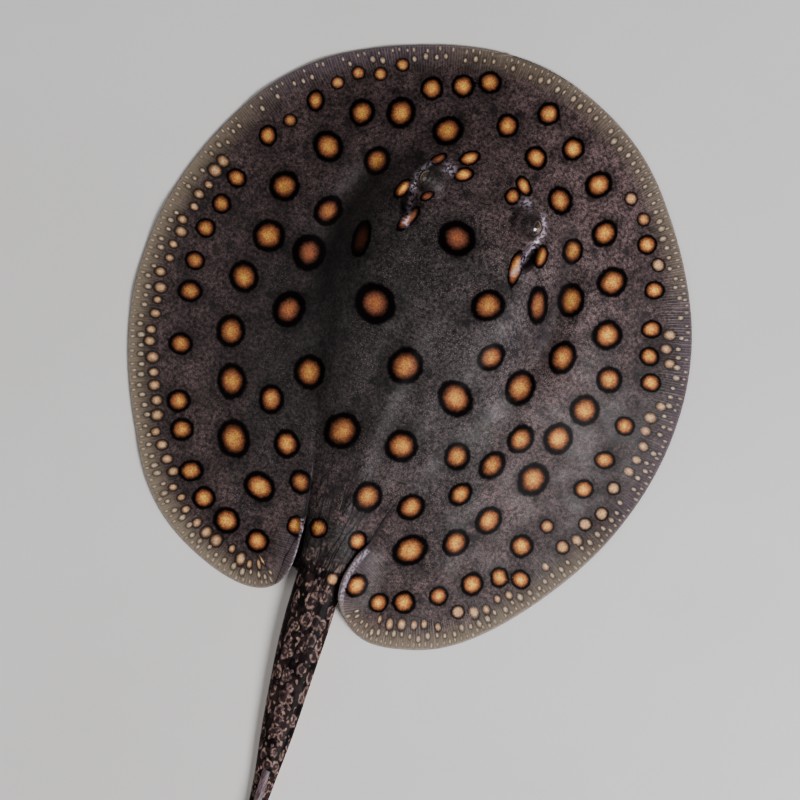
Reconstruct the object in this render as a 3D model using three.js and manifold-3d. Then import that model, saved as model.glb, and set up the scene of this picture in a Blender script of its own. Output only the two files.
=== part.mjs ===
// A freshwater stingray of the motoro kind, life size.
// It lies still and flat, with its tail swung a little to its right.
// Millimetres. +Y runs from the tail to the snout, +X is the animal's right side and +Z is up.
// The origin is on the floor, under the middle of the disc. The belly and the fins' rims rest at z = 0.
//
// Each soft part is a slab: a grid of places seen from above, with a top and an underside height at each.
// A strip down the middle makes the head and the trunk. A pectoral fin fans out from each side of that strip
// to the rim of the disc, and the tail is a loft of rings. All of it is built straight and then swayed.

import * as THREE from "three";
import { mergeVertices } from "three/addons/utils/BufferGeometryUtils.js";
import Module from "manifold-3d";

const DEGREE = Math.PI / 180;
const GAP = 0.3; // the thin cut between neighbours

// ---- driving dimensions ----

// The rim of the disc, as a distance from the origin at each turn away from straight ahead.
const DISC_RADIUS = 213;
const DISC_STRETCH = 6.4; // longer than it is wide
const DISC_REAR_FULLNESS = 5.5; // fuller behind than in front
const SNOUT_POINT = { height: 3.2, spread: 18 * DEGREE };
const LOBE_SWELL = { height: 10, turn: 152 * DEGREE, spread: 17 * DEGREE };
const LOBE_TURN = 160 * DEGREE; // here the rim leaves the disc's curve and rounds the rear lobe
const RIM_THICKNESS = 2.4;

// Half the width of the strip that is head and trunk, from the snout to the fins' last hold on the body.
const BODY_WIDTHS = [
  [-150, 27], [-128, 31], [-94, 41], [-46, 57], [8, 70], [60, 72], [108, 63], [148, 50], [178, 38],
  [215.5, 22],
];
const SNOUT_Y = 215.5;
const HEAD_BACK_Y = 62;
const TRUNK_BACK_Y = -150;

// Heights above the floor along the middle of the back, and along the line where the fins join the body.
const RIDGE_HEIGHTS = [
  [-150, 28], [-120, 34], [-80, 43], [-40, 51], [0, 55], [40, 53], [80, 46], [110, 37], [140, 26], [170, 15],
  [195, 8], [215.5, 2.8],
];
const ROOT_HEIGHTS = [
  [-150, 13], [-100, 18], [-50, 24], [0, 26], [60, 24], [110, 19], [150, 12], [180, 7.5], [215.5, 2.4],
];
const DOME_CROWN = 0.2; // how far the raised back rounds off before its flanks
const FLANK_STEEPNESS = [[-150, 4], [-60, 6], [20, 11], [80, 12], [120, 6], [215.5, 4]];
const MUSCLE_HEIGHT = 3; // the swell of the fin's muscle beside the body
const TROUGH = { depth: 4, share: 1.22, spread: 0.14 }; // the valley between the head and that muscle
const FIN_ARCH = 2.2; // how far the fin's underside rises between the body and the rim
const SNOUT_LIFT = 1.6;

// The head is turned a little to its right, so the middle between its eyes lies this far to the right.
const FACE_MIDDLE = 2;
const EYE = { x: 41.2, y: 104.5, z: 40.5, radius: 8 };
const BROW = { x: 37.2, y: 103.5, z: 34, wide: 12.5, long: 14.5, high: 12.5 };
const SPIRACLE = { x: 49.5, y: 84.5, z: 40.5, wide: 6.5, long: 11.5, deep: 13, turn: -12 * DEGREE };

const PELVIC_FRONT_Y = -112;
const PELVIC_BACK_Y = -196;
const PELVIC_SPAN = 40;
const PELVIC_THICKNESS = 3;
const PELVIC_OFFSET = 1.2; // from the body's side
// How far the pectoral fin's underside lifts over the pelvic fin, and where.
const PELVIC_ROOM = { height: 4.4, x: 40, y: -152, wide: 56, long: 62 };

const TAIL_WIDTHS = [
  [-465, 1.1], [-440, 2.6], [-400, 4.6], [-350, 7.8], [-311, 12], [-272, 15], [-233, 17.2], [-194, 17.8],
  [-183, 19.2], [-172, 20.8], [-161, 22.9], [-150, 26.4],
];
const TAIL_HEIGHTS = [
  [-465, 2.6], [-440, 6], [-400, 9], [-350, 11.5], [-311, 13.6], [-272, 16], [-233, 18.5], [-194, 21.5],
  [-172, 24.5], [-150, 27.6],
];
const TAIL_CUTS = [-150, -250, -350, -465]; // base, middle and tip
const TAIL_SIDES = 16;
const TAIL_FLATNESS = 0.06; // the share of the ring's height that is cut off flat underneath
const KEEL = { frontY: -330, growth: 60 }; // from here the tail narrows to a keel above and below

const STING = { rootY: -338, length: 86, width: 6.4, thickness: 1.8, teeth: 17, toothDepth: 0.7, rise: 0.8 };

// The line that the body's middle follows when it sways, as how far it lies to the right at each y.
const SWAY_LINE = [
  [-465, 49], [-410, 44.5], [-350, 36], [-310, 29], [-250, 18.5], [-190, 10.2], [-160, 7.5], [-130, 4.8],
  [-60, 0],
];
const LOBE_FOLLOWS = 0.4; // the share of the sway that the disc's outer parts take
const LEFT_LOBE_FOLLOWS = 0.6; // the tail swings away from this lobe's inner edge
// Both fins lie shifted to the left outside innerX, and more so in front, where the left one is spread wider.
const FIN_LEAN = { all: 3.3, front: 4, frontY: 140, frontSpread: 50, innerX: 74, width: 70 };

// ---- small helpers ----

const clamp01 = (t) => Math.min(1, Math.max(0, t));
const mix = (a, b, t) => a + (b - a) * t;
const ease = (t) => clamp01(t) ** 2 * (3 - 2 * clamp01(t));
const bell = (t) => Math.exp(-(t ** 2));

// A smooth curve through [place, value] pairs, which holds its end values.
function through(pairs) {
  const slope = (a, b) => (pairs[b][1] - pairs[a][1]) / (pairs[b][0] - pairs[a][0]);
  const last = pairs.length - 1;
  const slopes = pairs.map((_, k) => slope(Math.max(k - 1, 0), Math.min(k + 1, last)));
  return (place) => {
    if (place <= pairs[0][0]) return pairs[0][1];
    if (place >= pairs[last][0]) return pairs[last][1];
    const k = pairs.findIndex((pair) => pair[0] > place) - 1;
    const run = pairs[k + 1][0] - pairs[k][0];
    const t = (place - pairs[k][0]) / run;
    const bend = (1 - t) * slopes[k] * run - t * slopes[k + 1] * run;
    return mix(pairs[k][1], pairs[k + 1][1], ease(t)) + t * (1 - t) * bend;
  };
}

const bodyWidth = through(BODY_WIDTHS);
const ridgeHeight = through(RIDGE_HEIGHTS);
const rootHeight = through(ROOT_HEIGHTS);
const flankSteepness = through(FLANK_STEEPNESS);
const tailWidth = through(TAIL_WIDTHS);
const tailHeight = through(TAIL_HEIGHTS);
const swayLine = through(SWAY_LINE);

// ---- the disc seen from above ----

function rimRadius(turn) {
  const snout = SNOUT_POINT.height * bell(turn / SNOUT_POINT.spread);
  const lobe = LOBE_SWELL.height * bell((Math.abs(turn) - LOBE_SWELL.turn) / LOBE_SWELL.spread);
  const oval = DISC_RADIUS + DISC_STRETCH * Math.cos(2 * turn) - DISC_REAR_FULLNESS * Math.cos(turn);
  return oval + snout + lobe;
}

function rimPoint(turn) {
  return new THREE.Vector2(Math.sin(turn), Math.cos(turn)).multiplyScalar(rimRadius(turn));
}

// A place in the middle strip: across runs from -1 to 1, and the foremost rows follow the snout's curve.
function stripPoint(across, y) {
  const x = across * bodyWidth(y);
  const front = clamp01((y - HEAD_BACK_Y) / (SNOUT_Y - HEAD_BACK_Y)) ** 2;
  const drop = SNOUT_Y - rimPoint(Math.asin(x / SNOUT_Y)).y;
  return new THREE.Vector2(x, y - drop * front);
}

// The rim of one pectoral fin, from beside the snout round the rear lobe to the fin's last hold on the body.
const rimStart = Math.atan2(stripPoint(1, SNOUT_Y).x, stripPoint(1, SNOUT_Y).y) + 2 * DEGREE;
const lobe = new THREE.CubicBezierCurve(
  rimPoint(LOBE_TURN),
  new THREE.Vector2(14, -238),
  new THREE.Vector2(9, -190),
  new THREE.Vector2(bodyWidth(TRUNK_BACK_Y) + 2, TRUNK_BACK_Y - 5),
);
const LOBE_SHARE = 0.2; // the share of the rim's length that the lobe takes

function finRim(along) {
  if (along > 1 - LOBE_SHARE) return lobe.getPoint((along - 1 + LOBE_SHARE) / LOBE_SHARE);
  return rimPoint(mix(rimStart, LOBE_TURN, along / (1 - LOBE_SHARE)));
}

// A place in the right pectoral fin: out runs from the body to the rim, and along from the snout to the tail.
function finPoint(out, along) {
  const root = stripPoint(1, mix(SNOUT_Y, TRUNK_BACK_Y, along));
  root.x += GAP;
  const rim = finRim(along);
  rim.x += GAP;
  return root.lerp(rim, out);
}

// ---- heights ----

// The raised head and back, with its flanks and the valley outside them, above the line of the fins.
function dome(x, y) {
  const share = Math.abs(x) / bodyWidth(y);
  const profile = (1 - DOME_CROWN * Math.min(1, share) ** 2) / (1 + share ** flankSteepness(y));
  const trough = bell((share - TROUGH.share) / TROUGH.spread) * ease((y + 30) / 50) * ease((125 - y) / 50);
  return (ridgeHeight(y) - rootHeight(y)) * profile - TROUGH.depth * trough;
}

const stripTop = ({ x, y }) => rootHeight(y) + dome(x, y);
const stripBottom = ({ y }) => SNOUT_LIFT * ease((y - 70) / 60) * ease((SNOUT_Y - y) / 30);

// Over the pelvic fin the pectoral fin's underside lifts, and it comes down again at the rim of the rear lobe.
function pelvicRoom(x, y) {
  const { height, wide, long } = PELVIC_ROOM;
  const far = Math.hypot((Math.abs(x) - PELVIC_ROOM.x) / wide, (y - PELVIC_ROOM.y) / long);
  return height * ease((1.1 - far) / 0.3);
}

function finBottom({ x, y }, out) {
  return FIN_ARCH * Math.sin(Math.PI * out) ** 2 + pelvicRoom(x, y) * (1 - 0.35 * out ** 8);
}

function finTop(place, out, along) {
  const root = rootHeight(mix(SNOUT_Y, TRUNK_BACK_Y, along));
  const taper = (1 - out ** 1.8) ** 1.5;
  const muscle = MUSCLE_HEIGHT * Math.sin(Math.PI * clamp01(out * 1.5)) ** 2 * Math.sin(Math.PI * along);
  const rimTop = RIM_THICKNESS + pelvicRoom(place.x, place.y) * 0.65;
  return mix(rimTop, root, taper) + muscle + dome(place.x, place.y);
}

// ---- solids ----

// A closed geometry from points and triangles.
// Shared points are merged, and triangles that closed up are dropped.
function closed(points, triangles) {
  const positions = new THREE.Float32BufferAttribute(triangles.flat().flatMap((k) => points[k]), 3);
  const merged = mergeVertices(new THREE.BufferGeometry().setAttribute("position", positions), 1e-3);
  const kept = [];
  for (let k = 0; k < merged.index.count; k += 3) {
    const [a, b, c] = [0, 1, 2].map((n) => merged.index.getX(k + n));
    if (a !== b && b !== c && c !== a) kept.push(a, b, c);
  }
  return merged.setIndex(kept);
}

// The solid between a top and an underside over one grid of places. place(i, j) takes shares from 0 to 1.
function slab(columns, rows, place, topOf, bottomOf) {
  const points = [];
  const quads = [];
  for (let j = 0; j <= rows; j++) {
    for (let i = 0; i <= columns; i++) {
      const at = place(i / columns, j / rows);
      const low = bottomOf(at, i / columns, j / rows);
      const high = Math.max(topOf(at, i / columns, j / rows), low + 0.6);
      points.push([at.x, at.y, high], [at.x, at.y, low]);
    }
  }
  const top = (i, j) => 2 * (j * (columns + 1) + i);
  const bottom = (i, j) => top(i, j) + 1;
  for (let j = 0; j < rows; j++) {
    for (let i = 0; i < columns; i++) {
      quads.push([top(i, j), top(i, j + 1), top(i + 1, j + 1), top(i + 1, j)]);
      quads.push([bottom(i, j), bottom(i + 1, j), bottom(i + 1, j + 1), bottom(i, j + 1)]);
    }
    quads.push([top(0, j), bottom(0, j), bottom(0, j + 1), top(0, j + 1)]);
    quads.push([top(columns, j), top(columns, j + 1), bottom(columns, j + 1), bottom(columns, j)]);
  }
  for (let i = 0; i < columns; i++) {
    quads.push([top(i, 0), top(i + 1, 0), bottom(i + 1, 0), bottom(i, 0)]);
    quads.push([top(i, rows), bottom(i, rows), bottom(i + 1, rows), top(i + 1, rows)]);
  }
  return closed(points, quads.flatMap(([a, b, c, d]) => [[a, b, c], [a, c, d]]));
}

// One point of the tail's ring at y. A ring is flat-bellied in front and grows a keel above and below behind.
function tailRing(y, side) {
  const angle = (side / TAIL_SIDES) * 2 * Math.PI;
  const keel = ease((KEEL.frontY - y) / KEEL.growth);
  const roundness = mix(mix(0.6, 0.85, ease((TRUNK_BACK_Y - y) / 40)), 1.25, keel);
  const shape = (t) => Math.sign(t) * Math.abs(t) ** roundness;
  const up = mix(-TAIL_FLATNESS, 1, (1 + shape(Math.sin(angle))) / 2);
  return [tailWidth(y) * shape(Math.cos(angle)), y, tailHeight(y) * Math.max(0, up)];
}

// A length of tail from frontY back to backY.
function tailLength(frontY, backY, rows) {
  const points = [];
  const triangles = [];
  for (let j = 0; j <= rows; j++) {
    for (let side = 0; side < TAIL_SIDES; side++) points.push(tailRing(mix(frontY, backY, j / rows), side));
  }
  const at = (j, side) => j * TAIL_SIDES + (side % TAIL_SIDES);
  for (let side = 0; side < TAIL_SIDES; side++) {
    for (let j = 0; j < rows; j++) {
      triangles.push([at(j, side), at(j, side + 1), at(j + 1, side + 1)]);
      triangles.push([at(j, side), at(j + 1, side + 1), at(j + 1, side)]);
    }
    if (side > 0 && side < TAIL_SIDES - 1) {
      triangles.push([at(0, 0), at(0, side + 1), at(0, side)]);
      triangles.push([at(rows, 0), at(rows, side), at(rows, side + 1)]);
    }
  }
  return closed(points, triangles);
}

function finLean(x, y) {
  const amount = FIN_LEAN.all + FIN_LEAN.front * bell((y - FIN_LEAN.frontY) / FIN_LEAN.frontSpread);
  return amount * ease((Math.abs(x) - FIN_LEAN.innerX) / FIN_LEAN.width);
}

// rearFollows is the share of the sway that a part's inner edge takes behind the body.
function sway(geometry, rearFollows = 1) {
  const places = geometry.getAttribute("position");
  for (let k = 0; k < places.count; k++) {
    const [x, y] = [places.getX(k), places.getY(k)];
    const outer = mix(1, LOBE_FOLLOWS, ease((Math.abs(x) - 25) / 65));
    const rear = mix(1, rearFollows, ease((TRUNK_BACK_Y - y) / 40));
    places.setX(k, x + swayLine(y) * outer * rear - finLean(x, y));
  }
  return geometry;
}

function mirrored(geometry) {
  const turned = geometry.clone().scale(-1, 1, 1);
  const index = turned.index;
  for (let k = 0; k < index.count; k += 3) {
    const first = index.getX(k);
    index.setX(k, index.getX(k + 1));
    index.setX(k + 1, first);
  }
  return turned;
}

// ---- cuts and joins ----

const wasm = await Module();
wasm.setup();

function toSolid(geometry) {
  const bare = geometry.clone();
  bare.deleteAttribute("normal");
  bare.deleteAttribute("uv");
  const merged = mergeVertices(bare, 1e-4);
  return new wasm.Manifold(
    new wasm.Mesh({
      numProp: 3,
      vertProperties: merged.getAttribute("position").array,
      triVerts: new Uint32Array(merged.index.array),
    }),
  );
}

function toGeometry(solid) {
  const mesh = solid.getMesh();
  return new THREE.BufferGeometry()
    .setAttribute("position", new THREE.BufferAttribute(mesh.vertProperties, 3))
    .setIndex(new THREE.BufferAttribute(mesh.triVerts, 1));
}

function ellipsoid(x, y, z, wide, long, high, turn = 0) {
  return new THREE.SphereGeometry(1, 16, 10)
    .rotateX(Math.PI / 2)
    .scale(wide, long, high)
    .rotateZ(turn)
    .translate(x, y, z);
}

const faceX = (side, x) => side * x + FACE_MIDDLE;

// The head's slab, with a brow raised round each eye, a socket for the eyeball and a spiracle behind it.
function headGeometry() {
  const strip = (across, along) => stripPoint(2 * across - 1, mix(HEAD_BACK_Y + GAP / 2, SNOUT_Y, 1 - along));
  let head = toSolid(slab(14, 17, strip, stripTop, stripBottom));
  for (const side of [-1, 1]) {
    const brow = ellipsoid(faceX(side, BROW.x), BROW.y, BROW.z, BROW.wide, BROW.long, BROW.high);
    const socketRadius = EYE.radius + GAP;
    const socket = ellipsoid(faceX(side, EYE.x), EYE.y, EYE.z, socketRadius, socketRadius, socketRadius);
    const { x, y, z, wide, long, deep, turn } = SPIRACLE;
    const spiracle = ellipsoid(faceX(side, x), y, z, wide, long, deep, side * turn);
    head = head.add(toSolid(brow)).subtract(toSolid(spiracle)).subtract(toSolid(socket));
  }
  return toGeometry(head);
}

function trunkGeometry() {
  const strip = (across, along) => stripPoint(2 * across - 1, mix(HEAD_BACK_Y - GAP / 2, TRUNK_BACK_Y, along));
  return slab(14, 20, strip, stripTop, stripBottom);
}

function pectoralGeometry() {
  return slab(9, 41, finPoint, finTop, finBottom);
}

// A pelvic fin is a thin leaf on the floor, from the body's side out under the rear of the pectoral fin.
function pelvicGeometry() {
  const leaf = (out, along) => {
    const y = mix(PELVIC_FRONT_Y, PELVIC_BACK_Y, along);
    const root = Math.max(y > TRUNK_BACK_Y ? bodyWidth(y) : 0, tailWidth(y)) + PELVIC_OFFSET;
    return new THREE.Vector2(root + out * PELVIC_SPAN * Math.sin(Math.PI * along ** 1.25) ** 0.8, y);
  };
  const leafTop = (_, out) => mix(PELVIC_THICKNESS, 1.2, out ** 2);
  return slab(5, 14, leaf, leafTop, () => 0);
}

// The sting is a flat lance with back-pointing teeth down both edges.
// It is drawn from its root at y = 0 back to its tip.
function stingGeometry() {
  const { length, width, thickness, teeth, toothDepth } = STING;
  const halfWidth = (share) => (width / 2) * (1 - share ** 1.6) + 0.25;
  const edge = (side) => {
    const points = [];
    for (let tooth = 0; tooth < teeth; tooth++) {
      const share = tooth / teeth;
      points.push(new THREE.Vector2(side * halfWidth(share), -share * length));
      const tip = side * (halfWidth(share) - toothDepth * (1 - share * 0.5));
      points.push(new THREE.Vector2(tip, -(share + 0.25 / teeth) * length));
    }
    return points;
  };
  const outline = [...edge(1), new THREE.Vector2(0, -length), ...edge(-1).reverse()];
  const lance = new THREE.ExtrudeGeometry(new THREE.Shape(outline), { depth: thickness, bevelEnabled: false });
  return mergeVertices(lance.deleteAttribute("normal").deleteAttribute("uv"), 1e-3);
}

// ---- the animal ----

const flesh = new THREE.MeshStandardMaterial({ color: 0x473a39, roughness: 0.55, metalness: 0 });
const tailFlesh = new THREE.MeshStandardMaterial({ color: 0x241c20, roughness: 0.55, metalness: 0 });
const eyeGloss = new THREE.MeshStandardMaterial({ color: 0x15100e, roughness: 0.12, metalness: 0 });
const stingHorn = new THREE.MeshStandardMaterial({ color: 0xb49a86, roughness: 0.45, metalness: 0 });

const ray = new THREE.Group();

function addPart(name, geometry, material) {
  const mesh = new THREE.Mesh(geometry, material);
  mesh.name = name;
  ray.add(mesh);
  return mesh;
}

addPart("head", headGeometry(), flesh);
addPart("trunk", sway(trunkGeometry()), flesh);

const SIDES = { right: 1, left: -1 };
for (const [side, sign] of Object.entries(SIDES)) {
  const sided = (geometry) => (sign > 0 ? geometry : mirrored(geometry));
  addPart(`pectoral_fin_${side}`, sway(sided(pectoralGeometry()), sign > 0 ? 1 : LEFT_LOBE_FOLLOWS), flesh);
  addPart(`pelvic_fin_${side}`, sway(sided(pelvicGeometry())), flesh);
  const eye = addPart(`eye_${side}`, new THREE.SphereGeometry(EYE.radius, 16, 12), eyeGloss);
  eye.position.set(faceX(sign, EYE.x), EYE.y, EYE.z);
}

["tail_base", "tail_middle", "tail_tip"].forEach((name, k) => {
  const geometry = tailLength(TAIL_CUTS[k] - GAP, TAIL_CUTS[k + 1], 11);
  addPart(name, sway(geometry), tailFlesh);
});

// The sting lies along the top of the tail, root in the skin, and its tip stands a little clear.
const stingBack = STING.rootY - STING.length;
const sting = addPart("sting", stingGeometry(), stingHorn);
sting.position.set(swayLine(STING.rootY), STING.rootY, tailHeight(STING.rootY) + GAP);
sting.rotation.order = "ZXY";
sting.rotation.z = Math.atan2(swayLine(stingBack) - swayLine(STING.rootY), STING.length);
sting.rotation.x = Math.atan2(tailHeight(STING.rootY) - tailHeight(stingBack) - STING.rise, STING.length);

export default ray;
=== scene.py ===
"""The looks of a freshwater stingray: one skin over the whole animal, its eyes, sting and thorns.

Lengths are millimetres in the modelling functions and metres in the shaders, in the frame of the solids:
+Y to the snout, +X to the animal's right, +Z up. The disc and the tail are shaped straight, and swayed last.
"""

import math
from collections import namedtuple

import bpy
import numpy as np
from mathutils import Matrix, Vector


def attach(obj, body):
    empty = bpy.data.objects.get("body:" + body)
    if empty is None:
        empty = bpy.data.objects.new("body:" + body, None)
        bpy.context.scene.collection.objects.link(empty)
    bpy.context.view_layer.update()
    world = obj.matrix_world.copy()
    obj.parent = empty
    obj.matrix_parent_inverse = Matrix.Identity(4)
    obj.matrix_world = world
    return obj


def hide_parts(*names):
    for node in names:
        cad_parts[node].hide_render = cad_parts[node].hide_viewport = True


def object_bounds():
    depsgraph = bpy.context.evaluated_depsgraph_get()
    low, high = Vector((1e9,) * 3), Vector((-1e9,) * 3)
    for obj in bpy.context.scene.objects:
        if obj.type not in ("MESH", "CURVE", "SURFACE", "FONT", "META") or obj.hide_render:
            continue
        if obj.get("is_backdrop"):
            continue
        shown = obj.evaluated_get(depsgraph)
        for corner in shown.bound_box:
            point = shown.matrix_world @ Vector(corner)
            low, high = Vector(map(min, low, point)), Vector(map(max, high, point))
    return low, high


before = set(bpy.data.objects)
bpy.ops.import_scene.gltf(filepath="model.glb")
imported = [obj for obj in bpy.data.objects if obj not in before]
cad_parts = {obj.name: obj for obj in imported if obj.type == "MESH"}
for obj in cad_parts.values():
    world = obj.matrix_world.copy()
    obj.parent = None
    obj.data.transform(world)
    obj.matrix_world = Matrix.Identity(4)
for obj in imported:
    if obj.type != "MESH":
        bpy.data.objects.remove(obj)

bl_info = {
    "name": "Freshwater stingray",
    "version": (1, 0, 0),
    "blender": (4, 5, 0),
    "location": "View3D > Sidebar > Stingray",
    "description": "Builds the skin, eyes, sting and thorns of an eye-spotted river stingray",
    "category": "Object",
}

MM = 0.001
DOUBLES_WITHIN = 0.02 * MM
FLESH = (
    "head", "trunk", "pectoral_fin_left", "pectoral_fin_right", "pelvic_fin_left", "pelvic_fin_right",
    "tail_base", "tail_middle", "tail_tip",
)

# ---- the animal's measures, as the solids have them ----

DISC_RADIUS = 213.0
DISC_STRETCH = 6.4
DISC_REAR_FULLNESS = 5.5
SNOUT_POINT = 3.2
SNOUT_SPREAD = math.radians(18)
LOBE_SWELL = 10.0
LOBE_SWELL_TURN = math.radians(152)
LOBE_SWELL_SPREAD = math.radians(17)
SNOUT_Y = 215.5
HEAD_BACK_Y = 62.0
TRUNK_BACK_Y = -150.0
LOBE_TURN = math.radians(160)
LOBE_SHARE = 0.2
LOBE_PULLS = ((14, -238), (9, -190))
RIM_START_TURN = math.radians(2)
RIM_THICKNESS = 2.4
RIM_ROUNDING = 1.3
MUSCLE_HEIGHT = 3.0
TROUGH_DEPTH = 4.0
DOME_CROWN = 0.2
FIN_ARCH = 2.2
SNOUT_LIFT = 1.6
PELVIC_ROOM = 4.4
PELVIC_SPAN = 40.0
PELVIC_FRONT_Y = -112.0
PELVIC_BACK_Y = -196.0
PELVIC_THICKNESS = 2.8
TAIL_TIP_Y = -465.0
TAIL_FLATNESS = 0.06
LOBE_FOLLOWS = 0.4
LEFT_LOBE_FOLLOWS = 0.6
FIN_LEAN = 3.3
FRONT_LEAN = 4.0
FRONT_LEAN_Y = 140.0
FRONT_LEAN_SPREAD = 50.0
LEAN_INNER_X = 74.0
LEAN_WIDTH = 70.0
FACE_MIDDLE = 2.0

# Where the right lobe's inner edge rides up over the tail's root, and moves towards it.
LAP_X = 19.0
LAP_WIDTH = 11.0
LAP_FRONT_Y = -152.0
LAP_BACK_Y = -222.0
LAP_HEIGHT = 8.0
LAP_SHIFT = 3.5

# Parts that only the skin has, or that it shows more finely than the solids.
EYE = np.array((41.2, 104.5, 40.5))
EYE_RADIUS = 8.0
EYE_CLEARANCE = 0.05
EYE_FROM_RIM = 100.0
TAIL_FROM_RIM = 200.0
GAZE = Vector((0.84, 0.14, 0.52)).normalized()
GAZE_TURN = np.array(GAZE.to_track_quat("Z", "Y").to_matrix())
BROW = np.array((37.2, 103.5, 34.0))
BROW_REACH = np.array((12.5, 14.5, 12.5))
LID_THICKNESS = 0.9
LID_OPENING = math.radians(43)
SPIRACLE = (49.0, 84.0)
SPIRACLE_HALF = (6.0, 11.5)
SPIRACLE_TURN = math.radians(-12)
SPIRACLE_DEPTH = 11.0
MOUTH_Y = 146.0
MOUTH_HALF_WIDTH = 22.0
NOSTRIL = (17.0, 158.0)
CURTAIN_Y = 152.5
GILL_SLITS = 5
FIRST_SLIT = (50.0, 92.0)
SLIT_SPACING = 12.5
VENT_Y = -124.0
BELLY_TOP = 6.0
STING_ROOT_Y = -338.0
STING_LENGTH = 86.0
STING_TEETH = 34
STING_HALF_WIDTH = 3.2
STING_HALF_HEIGHT = 0.85
THORNS = 17
FIRST_THORN_Y = -186.0
LAST_THORN_Y = -326.0

# Measures of the markings.
ROOT_BLOTCH = 11.2
TIP_BLOTCH = 6.0
NOWHERE_NEAR = 9.0
# The stretch of rim, along it from the snout's tip, whose innermost row has no dots.
BARE_FRONT = (-262.0, 235.0)
LOBE_TIP_ALONG = 655.0
# In from the rim: the pale margin's soft edge, the rim's band, and where the back's own colour comes in.
MARGIN_EDGE = (0.5, 1.9)
RIM_BAND = 20.0
BACK_ZONE = (60.0, 150.0)
# In units of a spot's size: its centre's soft edge, how sharply its ring ends, and the reach of its halo.
CENTRE_EDGE = (0.58, 1.2)
RING_EDGE_SHARE = 0.79
HALO_REACH = 2.7


# ---- smooth curves and small helpers ----


def clamp01(t):
    return np.clip(t, 0.0, 1.0)


def mix(a, b, t):
    return a + (b - a) * t


def ease(t):
    t = clamp01(t)
    return t * t * (3 - 2 * t)


def bell(t):
    return np.exp(-(np.asarray(t, dtype=float) ** 2))


def through(*pairs):
    """A smooth curve through (place, value) pairs, which holds its end values."""
    places, values = (np.array(column, dtype=float) for column in zip(*pairs))
    last = len(places) - 1
    before = np.maximum(np.arange(last + 1) - 1, 0)
    after = np.minimum(np.arange(last + 1) + 1, last)
    slopes = (values[after] - values[before]) / (places[after] - places[before])

    def at(place):
        place = np.clip(np.asarray(place, dtype=float), places[0], places[-1])
        k = np.clip(np.searchsorted(places, place, side="right") - 1, 0, last - 1)
        run = places[k + 1] - places[k]
        t = (place - places[k]) / run
        bend = (1 - t) * slopes[k] * run - t * slopes[k + 1] * run
        return mix(values[k], values[k + 1], ease(t)) + t * (1 - t) * bend

    return at


# From back to front: half the body's width, its heights at ridge and sides, and its flanks' steepness.
body_width = through(
    (-150, 27), (-128, 31), (-94, 41), (-46, 57), (8, 70), (60, 72), (108, 63), (148, 50), (178, 38),
    (215.5, 22),
)
ridge_height = through(
    (-150, 28), (-120, 34), (-80, 43), (-40, 51), (0, 55), (40, 53), (80, 46), (110, 37), (140, 26),
    (170, 15), (195, 8), (215.5, 2.8),
)
root_height = through(
    (-150, 13), (-100, 18), (-50, 24), (0, 26), (60, 24), (110, 19), (150, 12), (180, 7.5), (215.5, 2.4)
)
flank_steepness = through((-150, 4), (-60, 6), (20, 11), (80, 12), (120, 6), (215.5, 4))
# From the tip forward: half the tail's width, and its height.
tail_width = through(
    (-465, 1.1), (-440, 2.6), (-400, 4.6), (-350, 7.8), (-311, 12), (-272, 15), (-233, 17.2), (-194, 17.8),
    (-183, 19.2), (-172, 20.8), (-161, 22.9), (-150, 26.4),
)
tail_height = through(
    (-465, 2.6), (-440, 6), (-400, 9), (-350, 11.5), (-311, 13.6), (-272, 16), (-233, 18.5), (-194, 21.5),
    (-172, 24.5), (-150, 27.6),
)
# How pale the rim is, by the distance along it from the snout's tip: below zero on the left. Its low
# stretches on the right side and at the left front are painted shade.
rim_paleness_and_shade = through(
    (-700, 0.1), (-660, 0.4), (-615, 1.1), (-470, 1.1), (-290, 0.95), (-200, 0.35), (-110, 0.2), (-20, 0.65),
    (90, 0.7), (170, 0.7), (250, 0.2), (370, 0.15), (450, 0.7), (610, 1.0), (660, 0.4), (700, 0.1),
)
# How many of the rim's smaller dots are there, along the rim: fewer at the front.
rim_crowding = through(
    (-340, 1.0), (-290, 0.75), (-150, 0.6), (-50, 0.7), (30, 0.85), (100, 1.0), (230, 0.8), (400, 0.85),
    (470, 1.0),
)
# How far the body's middle is moved to the right, from the tail's tip forward.
sway_line = through(
    (-465, 49), (-410, 44.5), (-350, 36), (-310, 29), (-250, 18.5), (-190, 10.2), (-160, 7.5), (-130, 4.8),
    (-60, 0),
)


# ---- the disc seen from above ----


def rim_radius(turn):
    """How far the rim is from the disc's middle, by the turn from straight ahead."""
    snout = SNOUT_POINT * bell(turn / SNOUT_SPREAD)
    lobe = LOBE_SWELL * bell((np.abs(turn) - LOBE_SWELL_TURN) / LOBE_SWELL_SPREAD)
    return DISC_RADIUS + DISC_STRETCH * np.cos(2 * turn) - DISC_REAR_FULLNESS * np.cos(turn) + snout + lobe


def rim_point(turn):
    turn = np.asarray(turn, dtype=float)
    return np.stack((np.sin(turn), np.cos(turn)), axis=-1) * rim_radius(turn)[..., None]


def strip_point(across, y):
    """A place in the middle strip, across from -1 to 1. The foremost rows follow the snout's curve."""
    x = across * body_width(y)
    front = clamp01((y - HEAD_BACK_Y) / (SNOUT_Y - HEAD_BACK_Y)) ** 2
    drop = SNOUT_Y - rim_point(np.arcsin(x / SNOUT_Y))[..., 1]
    return np.stack((x, y - drop * front), axis=-1)


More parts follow.
